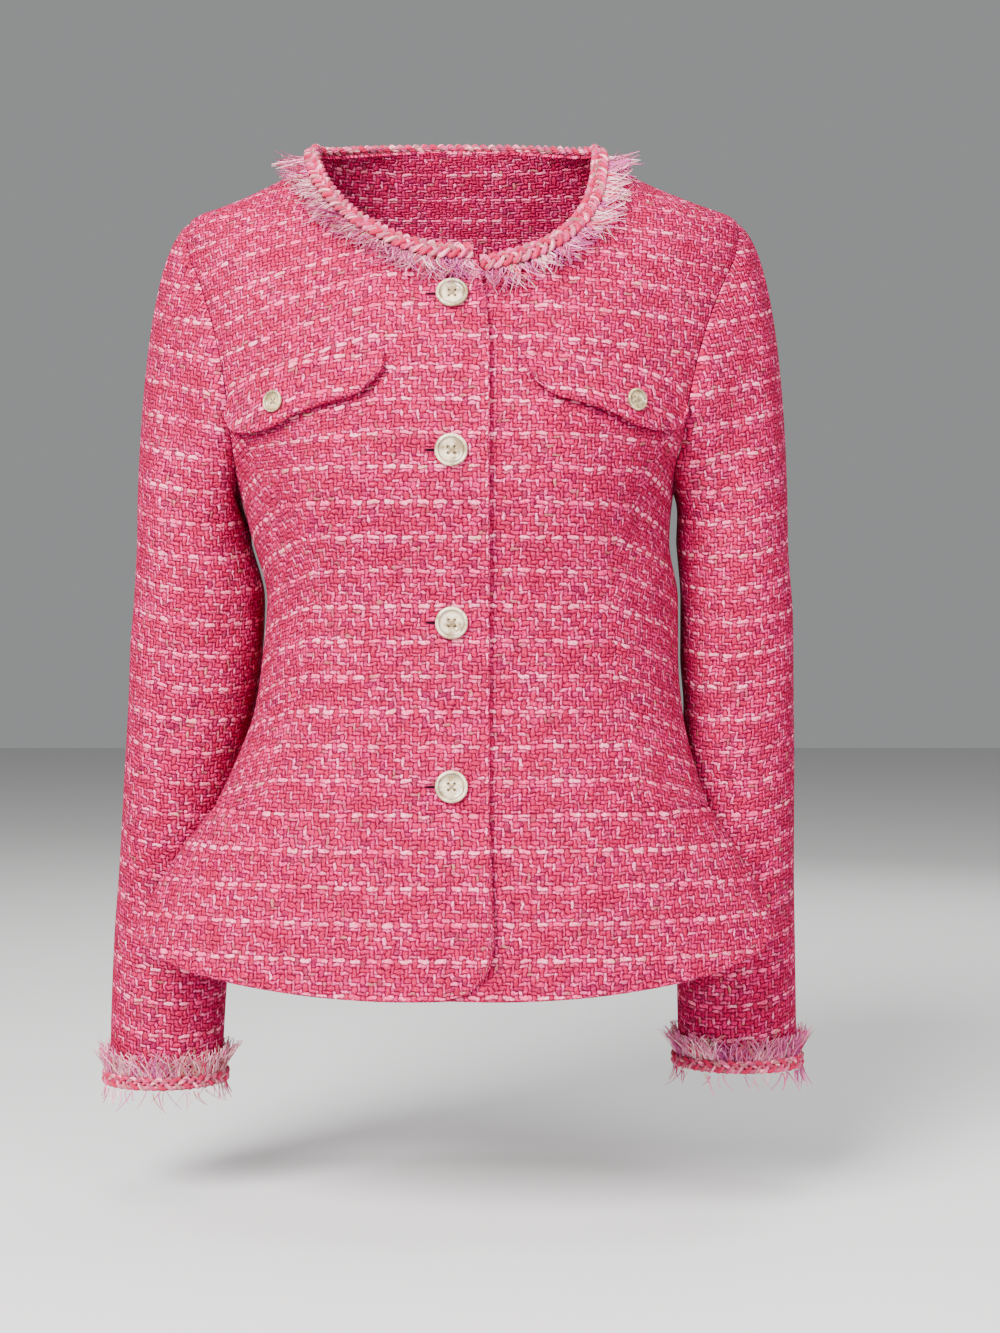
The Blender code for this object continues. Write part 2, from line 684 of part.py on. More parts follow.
def sleeve(side, turn, down):
    """Outer surface of a sleeve: turn 0 at the top, 90 in front, 180 inside, 270 behind.

    down runs from 0 at the armhole to 1 at the upper arm, and on to 2 at the cuff.
    """
    turn, down = np.broadcast_arrays(np.asarray(turn, float), np.asarray(down, float))
    turn = np.mod(turn, 360)
    lower = np.clip(down - 1, 0, 1)
    z = BICEP_Z + (CUFF_Z[side] - BICEP_Z) * lower
    row = sleeve_at[side](z)
    half_width = (row["outer"] - row["inner"]) / 2
    middle = (row["outer"] + row["inner"]) / 2
    angle = np.radians(turn)
    x = side * (middle + half_width * np.cos(angle))
    y = row["mid_y"] - row["half_depth"] * np.sin(angle)
    ring = stack(x, y, z)
    seam_turn = np.where(turn > 180, turn - 360, turn)
    at_angle, at_z = armhole(side, seam_turn)
    start = body(at_angle, at_z)
    normal = body_normal(at_angle, at_z)
    next_angle, next_z = armhole(side, seam_turn + 0.5)
    past_angle, past_z = armhole(side, seam_turn - 0.5)
    tangent = unit(body(next_angle, next_z) - body(past_angle, past_z))
    into_hole = unit(np.cross(normal, tangent))
    hole_z = (SHOULDER_POINT_Z + UNDERARM_Z) / 2
    centre = body(side * SIDE_SEAM_ANGLE, hole_z)
    pointing = np.sum(into_hole * (centre - start), axis=-1, keepdims=True)
    into_hole = np.where(pointing < 0, -into_hole, into_hole)
    head = head_at(np.abs(seam_turn))
    leave = np.radians(head["leave_angle"])[..., None]
    apart = np.cos(leave / 2) * into_hole + np.sin(leave / 2) * normal
    begin = start + SLEEVE_CLEAR * apart
    heading = np.cos(leave) * into_hole + np.sin(leave) * normal
    first = begin + heading * head["leave_reach"][..., None]
    second = ring + stack(0.0, 0.0, head["ring_reach"])
    part = np.clip(down, 0, 1)[..., None]
    rest = 1 - part
    cap = (
        rest ** 3 * begin + 3 * rest ** 2 * part * first
        + 3 * rest * part ** 2 * second + part ** 3 * ring
    )
    return np.where(down[..., None] < 1, cap, ring)


def sleeve_normal(side, turn, down):
    """Outward normal of a sleeve."""
    turn, down = np.broadcast_arrays(np.asarray(turn, float), np.asarray(down, float))
    low = np.clip(down - 0.01, 0, 2)
    high = np.clip(down + 0.01, 0, 2)
    along = sleeve(side, turn, high) - sleeve(side, turn, low)
    around = sleeve(side, turn + 1, down) - sleeve(side, turn - 1, down)
    return -unit(np.cross(along, around)) * side


def build_sleeves(tweed):
    """Top sleeves and under sleeves, open at the armhole and at the cuff."""
    arm_steps = 1 + np.linspace(0.03, 1, ARM_ROWS)
    down = np.concatenate([HEAD_STEPS, arm_steps])[:, None]
    turns = np.concatenate([
        np.linspace(0, SHAPING_TOP_TURN, FRONT_ARMHOLE_CELLS + 1)[:-1],
        np.linspace(SHAPING_TOP_TURN, 180, SIDE_ARMHOLE_CELLS + 1)[:-1],
        np.linspace(180, 360 - SHAPING_TOP_TURN, SIDE_ARMHOLE_CELLS + 1)[:-1],
        np.linspace(360 - SHAPING_TOP_TURN, 360, FRONT_ARMHOLE_CELLS + 1)[:-1],
    ])
    innermost = FRONT_ARMHOLE_CELLS + SIDE_ARMHOLE_CELLS
    front_seam = innermost - UNDER_FRONT_CELLS
    back_seam = innermost + SIDE_ARMHOLE_CELLS + UNDER_BACK_CELLS
    under = turns[front_seam:back_seam + 1]
    top = np.concatenate([turns[back_seam:] - 360, turns[:front_seam + 1]])
    for side, hand in ((-1, "right"), (1, "left")):
        for part, piece_turns in (("top", top), ("under", under)):
            points = sleeve(side, piece_turns[None, :], down)
            normals = sleeve_normal(side, piece_turns[None, :], down)
            points = inset_edges(points, ("inner", "outer"), SEAM_GAP / 2)
            normals[-1] = level(normals[-1])
            add_wall(f"{part}_sleeve_{hand}", points, points - normals * CLOTH, tweed)


def flap_place(flap, along, down):
    """Angle and height on a front at a share of the flap's width and a distance down."""
    sweep = FLAP_TOP_SWEEP * math.pi / 2
    width = flap["outer_x"] - flap["inner_x"]
    drop = flap["outer_z"] - flap["inner_z"]
    x = flap["inner_x"] + width * np.sin(along * sweep) / math.sin(sweep)
    z = flap["inner_z"] + drop * along ** FLAP_TOP_DROOP - down
    return angle_at(flap["side"] * x, z), z


def build_flaps(tweed):
    """Chest flaps, made on the front's surface and moved out."""
    along = np.linspace(0, 1, 15)[None, :]
    part = np.linspace(0, 1, 5)[:, None]
    depth = flap_depth_at(along)["depth"]
    for flap, name in ((FLAP_RIGHT_OF_WEARER, "flap_right"), (FLAP_LEFT_OF_WEARER, "flap_left")):
        angle, z = flap_place(flap, along + 0 * part, part * depth)
        normals = body_normal(angle, z)
        inner = body(angle, z) + normals * FLAP_GAP
        lift = FLAP_LIFT * part[..., None] ** 2
        inner = inner + normals * lift
        add_wall(name, inner + normals * FLAP_CLOTH, inner, tweed)


def button_profile(radius, thickness):
    """Rings of a button, each a radius and a height: rounded edge, raised rim, shallow dish."""
    return (
        (0.80 * radius, 0.0),
        (0.97 * radius, 0.30 * thickness),
        (1.00 * radius, 0.62 * thickness),
        (0.93 * radius, 1.00 * thickness),
        (0.80 * radius, 0.96 * thickness),
        (0.72 * radius, 0.70 * thickness),
        (0.40 * radius, 0.60 * thickness),
    )


def add_button(name, centre, normal, radius, thickness, material):
    """A button with four holes, facing along normal, its underside at centre."""
    up = np.array([0.0, 0.0, 1.0])
    across = unit(np.cross(up, normal))
    upward = unit(np.cross(normal, across))
    profile = button_profile(radius, thickness)
    points = []
    for ring_radius, height in profile:
        for number in range(BUTTON_SIDES):
            angle = 2 * math.pi * number / BUTTON_SIDES
            flat = across * math.cos(angle) + upward * math.sin(angle)
            points.append(centre + flat * ring_radius + normal * height)
    faces = []
    for ring in range(len(profile) - 1):
        for number in range(BUTTON_SIDES):
            beside = (number + 1) % BUTTON_SIDES
            low = ring * BUTTON_SIDES
            high = low + BUTTON_SIDES
            faces.append((low + number, low + beside, high + beside, high + number))
    faces.append(tuple(range(BUTTON_SIDES)))
    top = (len(profile) - 1) * BUTTON_SIDES
    faces.append(tuple(top + number for number in reversed(range(BUTTON_SIDES))))
    button = add_object(name, points, faces, material)
    hole_points = []
    hole_faces = []
    for number in range(4):
        turn = math.pi / 4 + number * math.pi / 2
        place = centre + (across * math.cos(turn) + upward * math.sin(turn)) * radius * HOLE_REACH
        base = len(hole_points)
        for height in (-1.0, thickness + 1.0):
            for corner in range(HOLE_SIDES):
                angle = 2 * math.pi * corner / HOLE_SIDES
                flat = across * math.cos(angle) + upward * math.sin(angle)
                hole_points.append(place + flat * radius * HOLE_SIZE + normal * height)
        for corner in range(HOLE_SIDES):
            beside = (corner + 1) % HOLE_SIDES
            hole_faces.append((base + corner, base + beside,
                               base + HOLE_SIDES + beside, base + HOLE_SIDES + corner))
        hole_faces.append(tuple(base + corner for corner in reversed(range(HOLE_SIDES))))
        hole_faces.append(tuple(base + HOLE_SIDES + corner for corner in range(HOLE_SIDES)))
    cutter = add_object(name + "_holes", hole_points, hole_faces, material)
    cutter.hide_render = True
    cutter.display_type = "WIRE"
    cut = button.modifiers.new("holes", "BOOLEAN")
    cut.operation = "DIFFERENCE"
    cut.object = cutter
    cut.solver = "EXACT"


def build_buttons(pearl):
    """Four large buttons down the front and one small button on each flap."""
    for number, height in enumerate(BUTTON_HEIGHTS, start=1):
        angle = angle_at(0.01, height)
        normal = body_normal(angle, height)
        centre = body(angle, height) + normal * BUTTON_GAP
        add_button(f"button_{number}", centre, normal, BUTTON_RADIUS,
                   BUTTON_THICKNESS, pearl)
    for flap, name in ((FLAP_RIGHT_OF_WEARER, "flap_button_right"),
                       (FLAP_LEFT_OF_WEARER, "flap_button_left")):
        angle, z = flap_place(flap, FLAP_BUTTON_ALONG, FLAP_BUTTON_DOWN)
        normal = body_normal(angle, z)
        centre = body(angle, z) + normal * (FLAP_GAP + FLAP_CLOTH + FLAP_LIFT)
        add_button(name, centre, normal, FLAP_BUTTON_RADIUS, FLAP_BUTTON_THICKNESS, pearl)


def neck_path(count):
    """Line of the neckline from the right front's edge, round the back, to the left front.

    Gives points, outward normals and directions into the neck opening.
    """
    top_x = float(front_edge_at(-NECK_LEFT["front_drop"])["x"])
    right_front = front_neckline(-1, top_x - 1.0, 40)
    back_right = back_neckline(-1, 40)[::-1]
    back_left = back_neckline(1, 40)
    left_front = front_neckline(1, top_x + 4.5, 40)[::-1]
    pairs = np.vstack([right_front, back_right[1:], back_left[1:], left_front[1:]])
    points = body(pairs[:, 0], pairs[:, 1])
    normals = body_normal(pairs[:, 0], pairs[:, 1])
    beside = points + np.array([BRAID_HALF_WIDTH * 2, 0.0, 0.0])
    under = overlap_shift(beside) * (np.arange(len(points)) > len(points) * 3 // 4)
    points = points - normals * under[:, None]
    lengths = np.concatenate([[0], np.cumsum(np.linalg.norm(np.diff(points, axis=0), axis=1))])
    places = np.linspace(0, lengths[-1], count)
    points = np.stack([np.interp(places, lengths, points[:, axis]) for axis in range(3)], axis=-1)
    normals = unit(np.stack([np.interp(places, lengths, normals[:, axis]) for axis in range(3)],
                            axis=-1))
    tangents = unit(np.gradient(points, axis=0))
    inward = unit(np.cross(tangents, normals))
    if inward[0, 2] < 0:
        inward = -inward
    return points, normals, inward, places


def cuff_path(side, height, count):
    """Ring round a cuff at a height above its end, with normals and the way up the sleeve."""
    turns = np.linspace(0, 360, count, endpoint=False)
    share = 2 - height / (BICEP_Z - CUFF_Z[side])
    points = sleeve(side, turns, np.full(count, share))
    normals = sleeve_normal(side, turns, np.full(count, share))
    upward = np.tile([0.0, 0.0, 1.0], (count, 1))
    upward = unit(upward - normals * np.sum(upward * normals, axis=1, keepdims=True))
    return points, normals, upward


def add_braid(name, centres, wide, thick, half_width, half_thickness, places, closed, material):
    """A flat plait along centres: wide and thick are its cross directions."""
    points = []
    for number, centre in enumerate(centres):
        phase = 2 * math.pi * places[number] / BRAID_LENGTH_OF_TURN
        sway = BRAID_SWAY * math.sin(phase)
        swell = 1 + 0.08 * math.cos(2 * phase)
        for corner in range(BRAID_SIDES):
            angle = 2 * math.pi * (corner + 0.5) / BRAID_SIDES
            along_wide = math.cos(angle) * half_width * 0.92 + sway
            along_thick = math.sin(angle) * half_thickness * swell
            points.append(centre + wide[number] * along_wide + thick[number] * along_thick)
    faces = []
    count = len(centres)
    for number in range(count if closed else count - 1):
        beyond = (number + 1) % count
        for corner in range(BRAID_SIDES):
            beside = (corner + 1) % BRAID_SIDES
            faces.append((number * BRAID_SIDES + corner, number * BRAID_SIDES + beside,
                          beyond * BRAID_SIDES + beside, beyond * BRAID_SIDES + corner))
    if not closed:
        faces.append(tuple(range(BRAID_SIDES)))
        faces.append(tuple((count - 1) * BRAID_SIDES + c for c in reversed(range(BRAID_SIDES))))
    add_object(name, points, faces, material)


def add_fringe(name, roots, out, lift, along, lengths, closed, material, chance):
    """A narrow strip along roots with a tapering strand from each of its outer faces."""
    count = len(roots)
    points = []
    for number in range(count):
        for depth, height in ((0, 0), (0, STRIP_THICKNESS), (STRIP_WIDTH, STRIP_THICKNESS),
                              (STRIP_WIDTH, 0)):
            points.append(roots[number] + out[number] * depth + lift[number] * height)
    faces = []
    strands = count if closed else count - 1
    for number in range(strands):
        beyond = (number + 1) % count
        low = number * 4
        high = beyond * 4
        faces.append((low, high, high + 1, low + 1))
        faces.append((low + 1, high + 1, high + 2, low + 2))
        faces.append((low + 3, high + 3, high, low))
        root = (roots[number] + roots[beyond]) / 2 + out[number] * STRIP_WIDTH
        root = root + lift[number] * STRIP_THICKNESS / 2
        lean = chance.uniform(-0.32, 0.32)
        rise = chance.uniform(0.16, 0.42)
        length = lengths[number] * chance.uniform(0.75, 1.15)
        heading = unit(out[number] + along[number] * lean + lift[number] * rise)
        middle = root + heading * length * 0.42
        tip = middle + unit(heading + lift[number] * rise) * length * 0.58
        base = len(points)
        for across, height in ((-1, -1), (1, -1), (1, 1), (-1, 1)):
            aside = along[number] * across * STRAND_HALF_WIDTH
            points.append(middle + aside + lift[number] * height * STRAND_HALF_THICKNESS)
        points.append(tip)
        around = (low + 3, high + 3, high + 2, low + 2)
        for corner in range(4):
            beside = (corner + 1) % 4
            faces.append((around[corner], around[beside], base + beside, base + corner))
            faces.append((base + corner, base + beside, base + 4))
    if not closed:
        faces.append((0, 1, 2, 3))
        last = (count - 1) * 4
        faces.append((last + 3, last + 2, last + 1, last))
    add_object(name, points, faces, material)


def build_neck_trim(trim, fringe):
    """Braid round the neckline, and the fringe just outside it."""
    points, normals, inward, places = neck_path(62)
    centres = points - inward * BRAID_ON_CLOTH + normals * (BRAID_GAP + BRAID_HALF_THICKNESS)
    add_braid("neck_braid", centres, inward, normals, BRAID_HALF_WIDTH, BRAID_HALF_THICKNESS,
              places, False, trim)
    points, normals, inward, places = neck_path(NECK_STRANDS + 1)
    reach = BRAID_ON_CLOTH + BRAID_HALF_WIDTH + BRAID_SWAY + 0.2
    roots = points - inward * reach + normals * BRAID_GAP
    along = unit(np.gradient(roots, axis=0))
    lengths = np.full(NECK_STRANDS + 1, NECK_STRAND_LENGTH)
    chance = np.random.default_rng(FRINGE_SEED)
    add_fringe("neck_fringe", roots, -inward, normals, along, lengths, False, fringe, chance)


def build_cuff_trim(trim, fringe):
    """Braid round each cuff, with a fringe above it that points up the sleeve."""
    for side, hand in ((-1, "right"), (1, "left")):
        count = 26
        half = CUFF_BRAID_HALF_WIDTH
        points, normals, upward = cuff_path(side, half, count)
        centres = points + normals * (BRAID_GAP + CUFF_BRAID_HALF_THICKNESS)
        round_length = np.sum(np.linalg.norm(np.roll(points, -1, 0) - points, axis=1))
        turns = round(round_length / BRAID_LENGTH_OF_TURN)
        places = np.arange(count) / count * turns * BRAID_LENGTH_OF_TURN
        add_braid(f"cuff_braid_{hand}", centres, upward, normals, half,
                  CUFF_BRAID_HALF_THICKNESS, places, True, trim)
        height = 2 * half + BRAID_SWAY + 0.3
        points, normals, upward = cuff_path(side, height, CUFF_STRANDS)
        roots = points + normals * BRAID_GAP
        along = unit(np.roll(roots, -1, 0) - np.roll(roots, 1, 0))
        lengths = np.full(CUFF_STRANDS, CUFF_STRAND_LENGTH)
        chance = np.random.default_rng(FRINGE_SEED + 2 + side)
        add_fringe(f"cuff_fringe_{hand}", roots, upward, normals, along, lengths, True, fringe,
                   chance)


def build_jacket():
    """Build every piece of the jacket."""
    for item in list(bpy.data.objects):
        bpy.data.objects.remove(item, do_unlink=True)
    tweed = make_material("tweed", TWEED, 0.9)
    trim = make_material("braid", TRIM, 0.85)
    fringe = make_material("fringe", FRINGE, 0.85)
    pearl = make_material("pearl", PEARL, 0.3)
    build_fronts(tweed)
    build_sides(tweed)
    build_back(tweed)
    build_peplum(tweed)
    build_sleeves(tweed)
    build_flaps(tweed)
    build_buttons(pearl)
    build_neck_trim(trim, fringe)
    build_cuff_trim(trim, fringe)


build_jacket()
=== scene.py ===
"""Looks of the tweed peplum jacket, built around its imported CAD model.

The jacket faces -Y, +X is the wearer's left and +Z is up. Sizes are in millimetres unless a
name says otherwise, and are turned to metres where a mesh is made. Each panel of cloth is a thin
closed shell on the form of its solid, with texture coordinates in millimetres along the grain.
In the tables of forms left and right are as seen from the front. Pieces are named for the
wearer's hands.
"""
import math

import bmesh
import bpy
import numpy as np
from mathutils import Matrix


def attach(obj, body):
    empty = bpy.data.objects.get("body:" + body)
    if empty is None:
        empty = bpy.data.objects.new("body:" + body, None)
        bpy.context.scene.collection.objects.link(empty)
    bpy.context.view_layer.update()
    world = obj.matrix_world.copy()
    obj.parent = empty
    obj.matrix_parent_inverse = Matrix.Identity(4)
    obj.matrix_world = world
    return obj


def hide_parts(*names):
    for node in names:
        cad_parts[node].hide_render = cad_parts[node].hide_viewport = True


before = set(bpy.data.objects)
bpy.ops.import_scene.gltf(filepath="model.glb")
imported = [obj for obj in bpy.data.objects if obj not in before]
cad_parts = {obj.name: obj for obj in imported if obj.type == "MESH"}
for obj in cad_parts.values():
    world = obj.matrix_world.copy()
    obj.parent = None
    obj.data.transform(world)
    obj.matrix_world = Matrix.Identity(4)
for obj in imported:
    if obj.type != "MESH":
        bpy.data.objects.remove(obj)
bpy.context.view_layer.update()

MM = 0.001

# Cloth and laid-on pieces
CLOTH = 2.4
OVERLAP_GAP = 0.9
FLAP_GAP = 0.6
BUTTON_GAP = 0.5

# Heights of the main lines
WAIST_SEAM_Z = -457.0
SHOULDER_POINT_Z = -50.0
UNDERARM_Z = -240.0
BACK_NECK_Z = 13.0
BICEP_Z = -275.0

# Body of the jacket: half widths to each side of the centre line, and depths from mid_y
BODY_COLUMNS = ("z", "left", "right", "mid_y", "front", "back")
BODY_ROWS = (
    (20, 52, 52, 8, 16, 48),
    (13, 68, 68, 8, 20, 54),
    (6, 84, 85, 8, 24, 57),
    (0, 97, 98, 8, 27, 60),
    (-12, 109, 115, 8, 33, 66),
    (-25, 131, 139, 8, 43, 72),
    (-38, 158, 170, 8, 53, 77),
    (-50, 186, 198, 8, 62, 82),
    (-62, 190, 201, 8, 73, 85),
    (-78, 191, 202, 7, 86, 88),
    (-94, 188, 199, 7, 95, 91),
    (-120, 184, 194, 6, 107, 94),
    (-160, 178, 186, 6, 121, 96),
    (-200, 168, 174, 5, 130, 95),
    (-240, 151, 153, 5, 132, 92),
    (-275, 141, 150, 4, 126, 88),
    (-315, 131, 156, 2, 115, 83),
    (-354, 134, 156, 0, 110, 82),
    (-390, 140, 160, 0, 110, 86),
    (-430, 157, 172, 0, 115, 97),
    (-457, 172, 184, 0, 120, 107),
)
SECTION_FULLNESS = 0.16
FRONT_FADE = 0.4

# How far each arm presses the side of the jacket in, centred a little behind the side
DENT_COLUMNS = ("z", "left", "right")
DENT_ROWS = ((-360, 0, 0), (-390, 2, 3), (-430, 10, 14), (-457, 22, 30))
DENT_ANGLE = 102.0
DENT_SPREAD = 13.0

# Soft forms of the front: x, z, spread along x, spread along z, height outwards
FRONT_FORMS = (
    (-84, -232, 44, 52, 6.0),
    (88, -232, 44, 52, 6.0),
    (0, -300, 40, 70, -1.5),
)
# Creases of the front, soft troughs along lines: x and z of one end, of the other, spread, depth
CREASES = (
    (-146, -214, -96, -300, 13, 4.0),
    (-92, -306, -110, -392, 11, 2.0),
    (143, -238, 112, -292, 11, 4.0),
    (150, -330, 118, -318, 9, 2.0),
)

# Lines of the pieces
# Sides are numbered -1 for the wearer's right, towards -X, and 1 for the left
NECK = {
    -1: {"half_width": 97, "front_drop": 86, "squareness": 1.8},
    1: {"half_width": 98, "front_drop": 93, "squareness": 2.6},
}
FRONT_EDGE_COLUMNS = ("z", "x")
FRONT_EDGE = ((-80, 13), (-94, 16), (-118, 21), (-150, 24), (-600, 24))
UNDER_EDGE_X = -24.0
OVERLAP_FULL = 20.0
OVERLAP_BLEND = 20.0
SHAPING_COLUMNS = ("z", "left", "right")
SHAPING_SEAM = (
    (-205, 141, 142),
    (-238, 124, 127),
    (-259, 109, 117),
    (-283, 97, 109),
    (-304, 91, 105),
    (-324, 93, 105),
    (-340, 98, 107),
    (-370, 103, 111),
    (-410, 110, 117),
    (-449, 123, 129),
    (-457, 127, 132),
)
BACK_SHAPING_COLUMNS = ("z", "angle")
BACK_SHAPING_SEAM = (
    (-205, 120), (-240, 128), (-290, 135), (-343, 137), (-400, 136), (-457, 133),
)
SHAPING_TOP_TURN = 113.0
SEAM_ROWS = 10
FRONT_ARMHOLE_CELLS = 8
SIDE_ARMHOLE_CELLS = 5
NECK_CELLS = 5
SHOULDER_CELLS = 6
SIDE_SEAM_ANGLE = 90.0
NORMAL_STEP_ANGLE = 2.0
NORMAL_STEP_HEIGHT = 5.0
ARMHOLE_FRONT_SWELL = 28.0
ARMHOLE_BACK_SWELL = 23.0
ARMHOLE_SKEW = 0.25

# Sleeves: distances of the outer and inner sides from the centre line, and depth about mid_y
SLEEVE_COLUMNS = ("z", "outer", "inner", "mid_y", "half_depth")
SLEEVE_LEFT = (
    (-275, 223.5, 144, 12, 56),
    (-315, 226, 134.5, 13, 53),
    (-354, 228.5, 136.5, 15, 51),
    (-390, 231, 141.5, 18, 49.5),
    (-430, 234, 149, 22, 48),
    (-470, 237, 154, 27, 46),
    (-510, 240, 158, 31, 44),
    (-550, 243.5, 161, 34, 42.5),
    (-600, 246, 165, 36, 41),
    (-658, 247.5, 168, 36, 40),
)
SLEEVE_RIGHT = (
    (-275, 234, 156, 12, 56),
    (-315, 236, 159, 13, 54),
    (-354, 238, 159, 15, 52),
    (-390, 239, 161.5, 18, 50),
    (-430, 240, 160, 22, 48),
    (-470, 240.5, 159, 27, 46),
    (-510, 241, 158, 31, 44.5),
    (-550, 242, 158, 34, 43),
    (-600, 243, 158.5, 36, 42),
    (-646, 243.5, 159.5, 36, 41),
)
CUFF_Z = {-1: -658.0, 1: -646.0}
# Sleeve head: how the sleeve leaves the armhole at the top, at the middle and under the arm
HEAD_COLUMNS = ("turn", "leave_angle", "leave_reach", "ring_reach")
HEAD_ROWS = ((0, 19, 22, 140), (90, 60, 16, 50), (180, 150, 12, 15))
SLEEVE_CLEAR = 0.5
# Under sleeve: cells in front of the innermost line and past the side back's cells
UNDER_FRONT_CELLS = 1
UNDER_BACK_CELLS = 3

# Peplum hem in plan: angle from the front, distance from the centre on each side, and height
HEM_COLUMNS = ("angle", "left", "right", "z")
HEM_ROWS = (
    (0, 141, 141, -575),
    (15, 145, 146, -575.5),
    (30, 155, 158, -574),
    (45, 172, 176, -570),
    (58, 195, 198, -563),
    (68, 214, 216, -553),
    (76, 223, 226, -541),
    (81, 209, 211, -541),
    (85, 187, 189, -545),
    (90, 162, 164, -548),
    (96, 149, 152, -550),
    (103, 147, 150, -551),
    (110, 155, 158, -552),
    (117, 176, 177, -553),
    (125, 197, 195, -553),
    (134, 200, 198, -554),
    (145, 183, 181, -557),
    (156, 179, 181, -559),
    (168, 164, 167, -560),
    (180, 160, 160, -560),
)
FLARE_LEAD = 0.35
HEM_CORNER_RADIUS = 36.0

# Chest flaps: top edge ends at inner and outer side, and depth along the width
FLAPS = {
    "right": {"side": -1, "inner_x": 44, "inner_z": -157, "outer_x": 149, "outer_z": -180},
    "left": {"side": 1, "inner_x": 48, "inner_z": -157, "outer_x": 153, "outer_z": -177},
}
FLAP_TOP_SWEEP = 0.86
FLAP_TOP_DROOP = 1.6
FLAP_LIFT = 1.2
FLAP_DEPTH_COLUMNS = ("along", "depth")
FLAP_DEPTHS = (
    (0.0, 11), (0.06, 22), (0.14, 29), (0.28, 32), (0.42, 35), (0.52, 38), (0.64, 37),
    (0.78, 32), (0.88, 26), (0.95, 18), (1.0, 11),
)
FLAP_CLOTH = 2.2

# Buttons
BUTTON_HEIGHTS = (-117.0, -222.0, -333.0, -440.0)
BUTTON_RADIUS = 10.75
FLAP_BUTTON_RADIUS = 7.5
FLAP_BUTTON_ALONG = 0.53
FLAP_BUTTON_DOWN = 23.0
BUTTON_THICKNESS = 3.4
FLAP_BUTTON_THICKNESS = 3.0
HOLE_REACH = 0.25
HOLE_SIZE = 0.095
HOLE_SIDES = 20
HOLE_SHADE_SIDES = 24
BUTTON_SIDES = 64
# Section of a button: share of the radius, share of the thickness, share of painted shade, most in
# the groove, on the rim's side and underneath
BUTTON_PROFILE = (
    (0.0, 0.0, 0.6), (0.78, 0.0, 0.6), (0.90, 0.08, 0.6), (0.97, 0.26, 0.7), (1.0, 0.50, 0.6),
    (0.985, 0.74, 0.35), (0.94, 0.92, 0.05), (0.88, 1.0, 0.0), (0.82, 0.96, 0.15),
    (0.79, 0.82, 0.6), (0.765, 0.66, 0.95), (0.73, 0.56, 0.8), (0.66, 0.49, 0.4),
    (0.56, 0.45, 0.1), (0.30, 0.43, 0.0), (0.0, 0.43, 0.05),
)
THREAD_APART = 0.036
THREAD_SIZE = 0.024
BUTTONHOLE_X = -8.5
BUTTONHOLE_LENGTH = 18.0
BUTTONHOLE_WIDTH = 2.2

# Braid and fringe
BRAID_HALF_WIDTH = 6.5
BRAID_HALF_THICKNESS = 3.2
BRAID_ON_CLOTH = 2.0
BRAID_GAP = 0.8
BRAID_LENGTH_OF_TURN = 18.0
CUFF_BRAID_HALF_WIDTH = 5.0
CUFF_BRAID_HALF_THICKNESS = 3.0

# Fineness of the visible cloth: cells for each one of the shared counts, rows and columns
FINE = 6
SIDE_FINE = 5
PEPLUM_ROWS = 31
PEPLUM_FRONT_COLUMNS = 81
PEPLUM_BACK_COLUMNS = 141
PEPLUM_CROWDING = 1.2
SLEEVE_HEAD_ROWS = 41
SLEEVE_HEAD_CROWDING = 1.15
SLEEVE_ROWS = 91
SLEEVE_CELLS = {"top": 78, "under": 38}
FLAP_ROWS = 23
FLAP_COLUMNS = 71
# Sewn edges turn in, and free edges stand off what lies under them
SEAM_DITCH = 0.7
EDGE_STEP = 0.3
EDGE_STAND = 2.0
EDGE_GRAIN_FROM = 7.0
FLAP_EDGE_STAND = 2.2
EDGE_STAND_WIDTH = 9.0
BEAD_STEP = 0.7
BEAD_SIDES = 8
FLAP_BEAD_RADIUS = 1.15
BEAD_RADIUS = 1.0
# Axis of a grid that each edge ends, and whether it is the last line there
EDGES = {"bottom": (0, False), "top": (0, True), "inner": (1, False), "outer": (1, True)}

# Soft folds of the sleeves: turn and z at both ends, spread and height (mm, + outwards)
SLEEVE_FOLDS = {
    -1: (
        (60, -150, 100, -300, 12, -3.0),
        (120, -380, 70, -420, 10, -2.5),
        (140, -330, 95, -360, 9, -2.0),
        (40, -470, 100, -500, 14, 2.0),
        (60, -560, 130, -590, 13, -2.0),
        (20, -330, 60, -420, 16, 2.0),
    ),
    1: (
        (70, -160, 110, -290, 12, -3.0),
        (130, -350, 75, -385, 10, -2.5),
        (60, -430, 125, -455, 11, -2.5),
        (45, -520, 105, -540, 14, 2.0),
        (60, -580, 120, -600, 12, -2.0),
        (20, -300, 50, -400, 16, 2.0),
    ),
}
# Width on a sleeve of one degree of turn, for its folds
FOLD_MM_PER_DEGREE = 0.85

# Weave of the tweed: widths of a thin and a thick yarn together, and how they wander
WARP_PAIR = 5.5
WEFT_PAIR = 5.76
THIN_WARP = 0.40
THIN_WEFT = 0.42
STRIPE_EVERY = 8
WEAVE_WOBBLE = 5.0
WEAVE_WOBBLE_SCALE = 0.08
YARN_WOBBLE = 2.4
YARN_WOBBLE_SCALE = 0.42
ROUND_ACROSS = 0.9
ROUND_ALONG = 0.62
SLUB_APART = 7.31
SLUB_ALONG = 0.07
HOT_SHARE = 0.88
FLOAT_CHANCE = 0.30
COLOUR_GAMMA = 1.28
COLOUR_HUE = 0.492
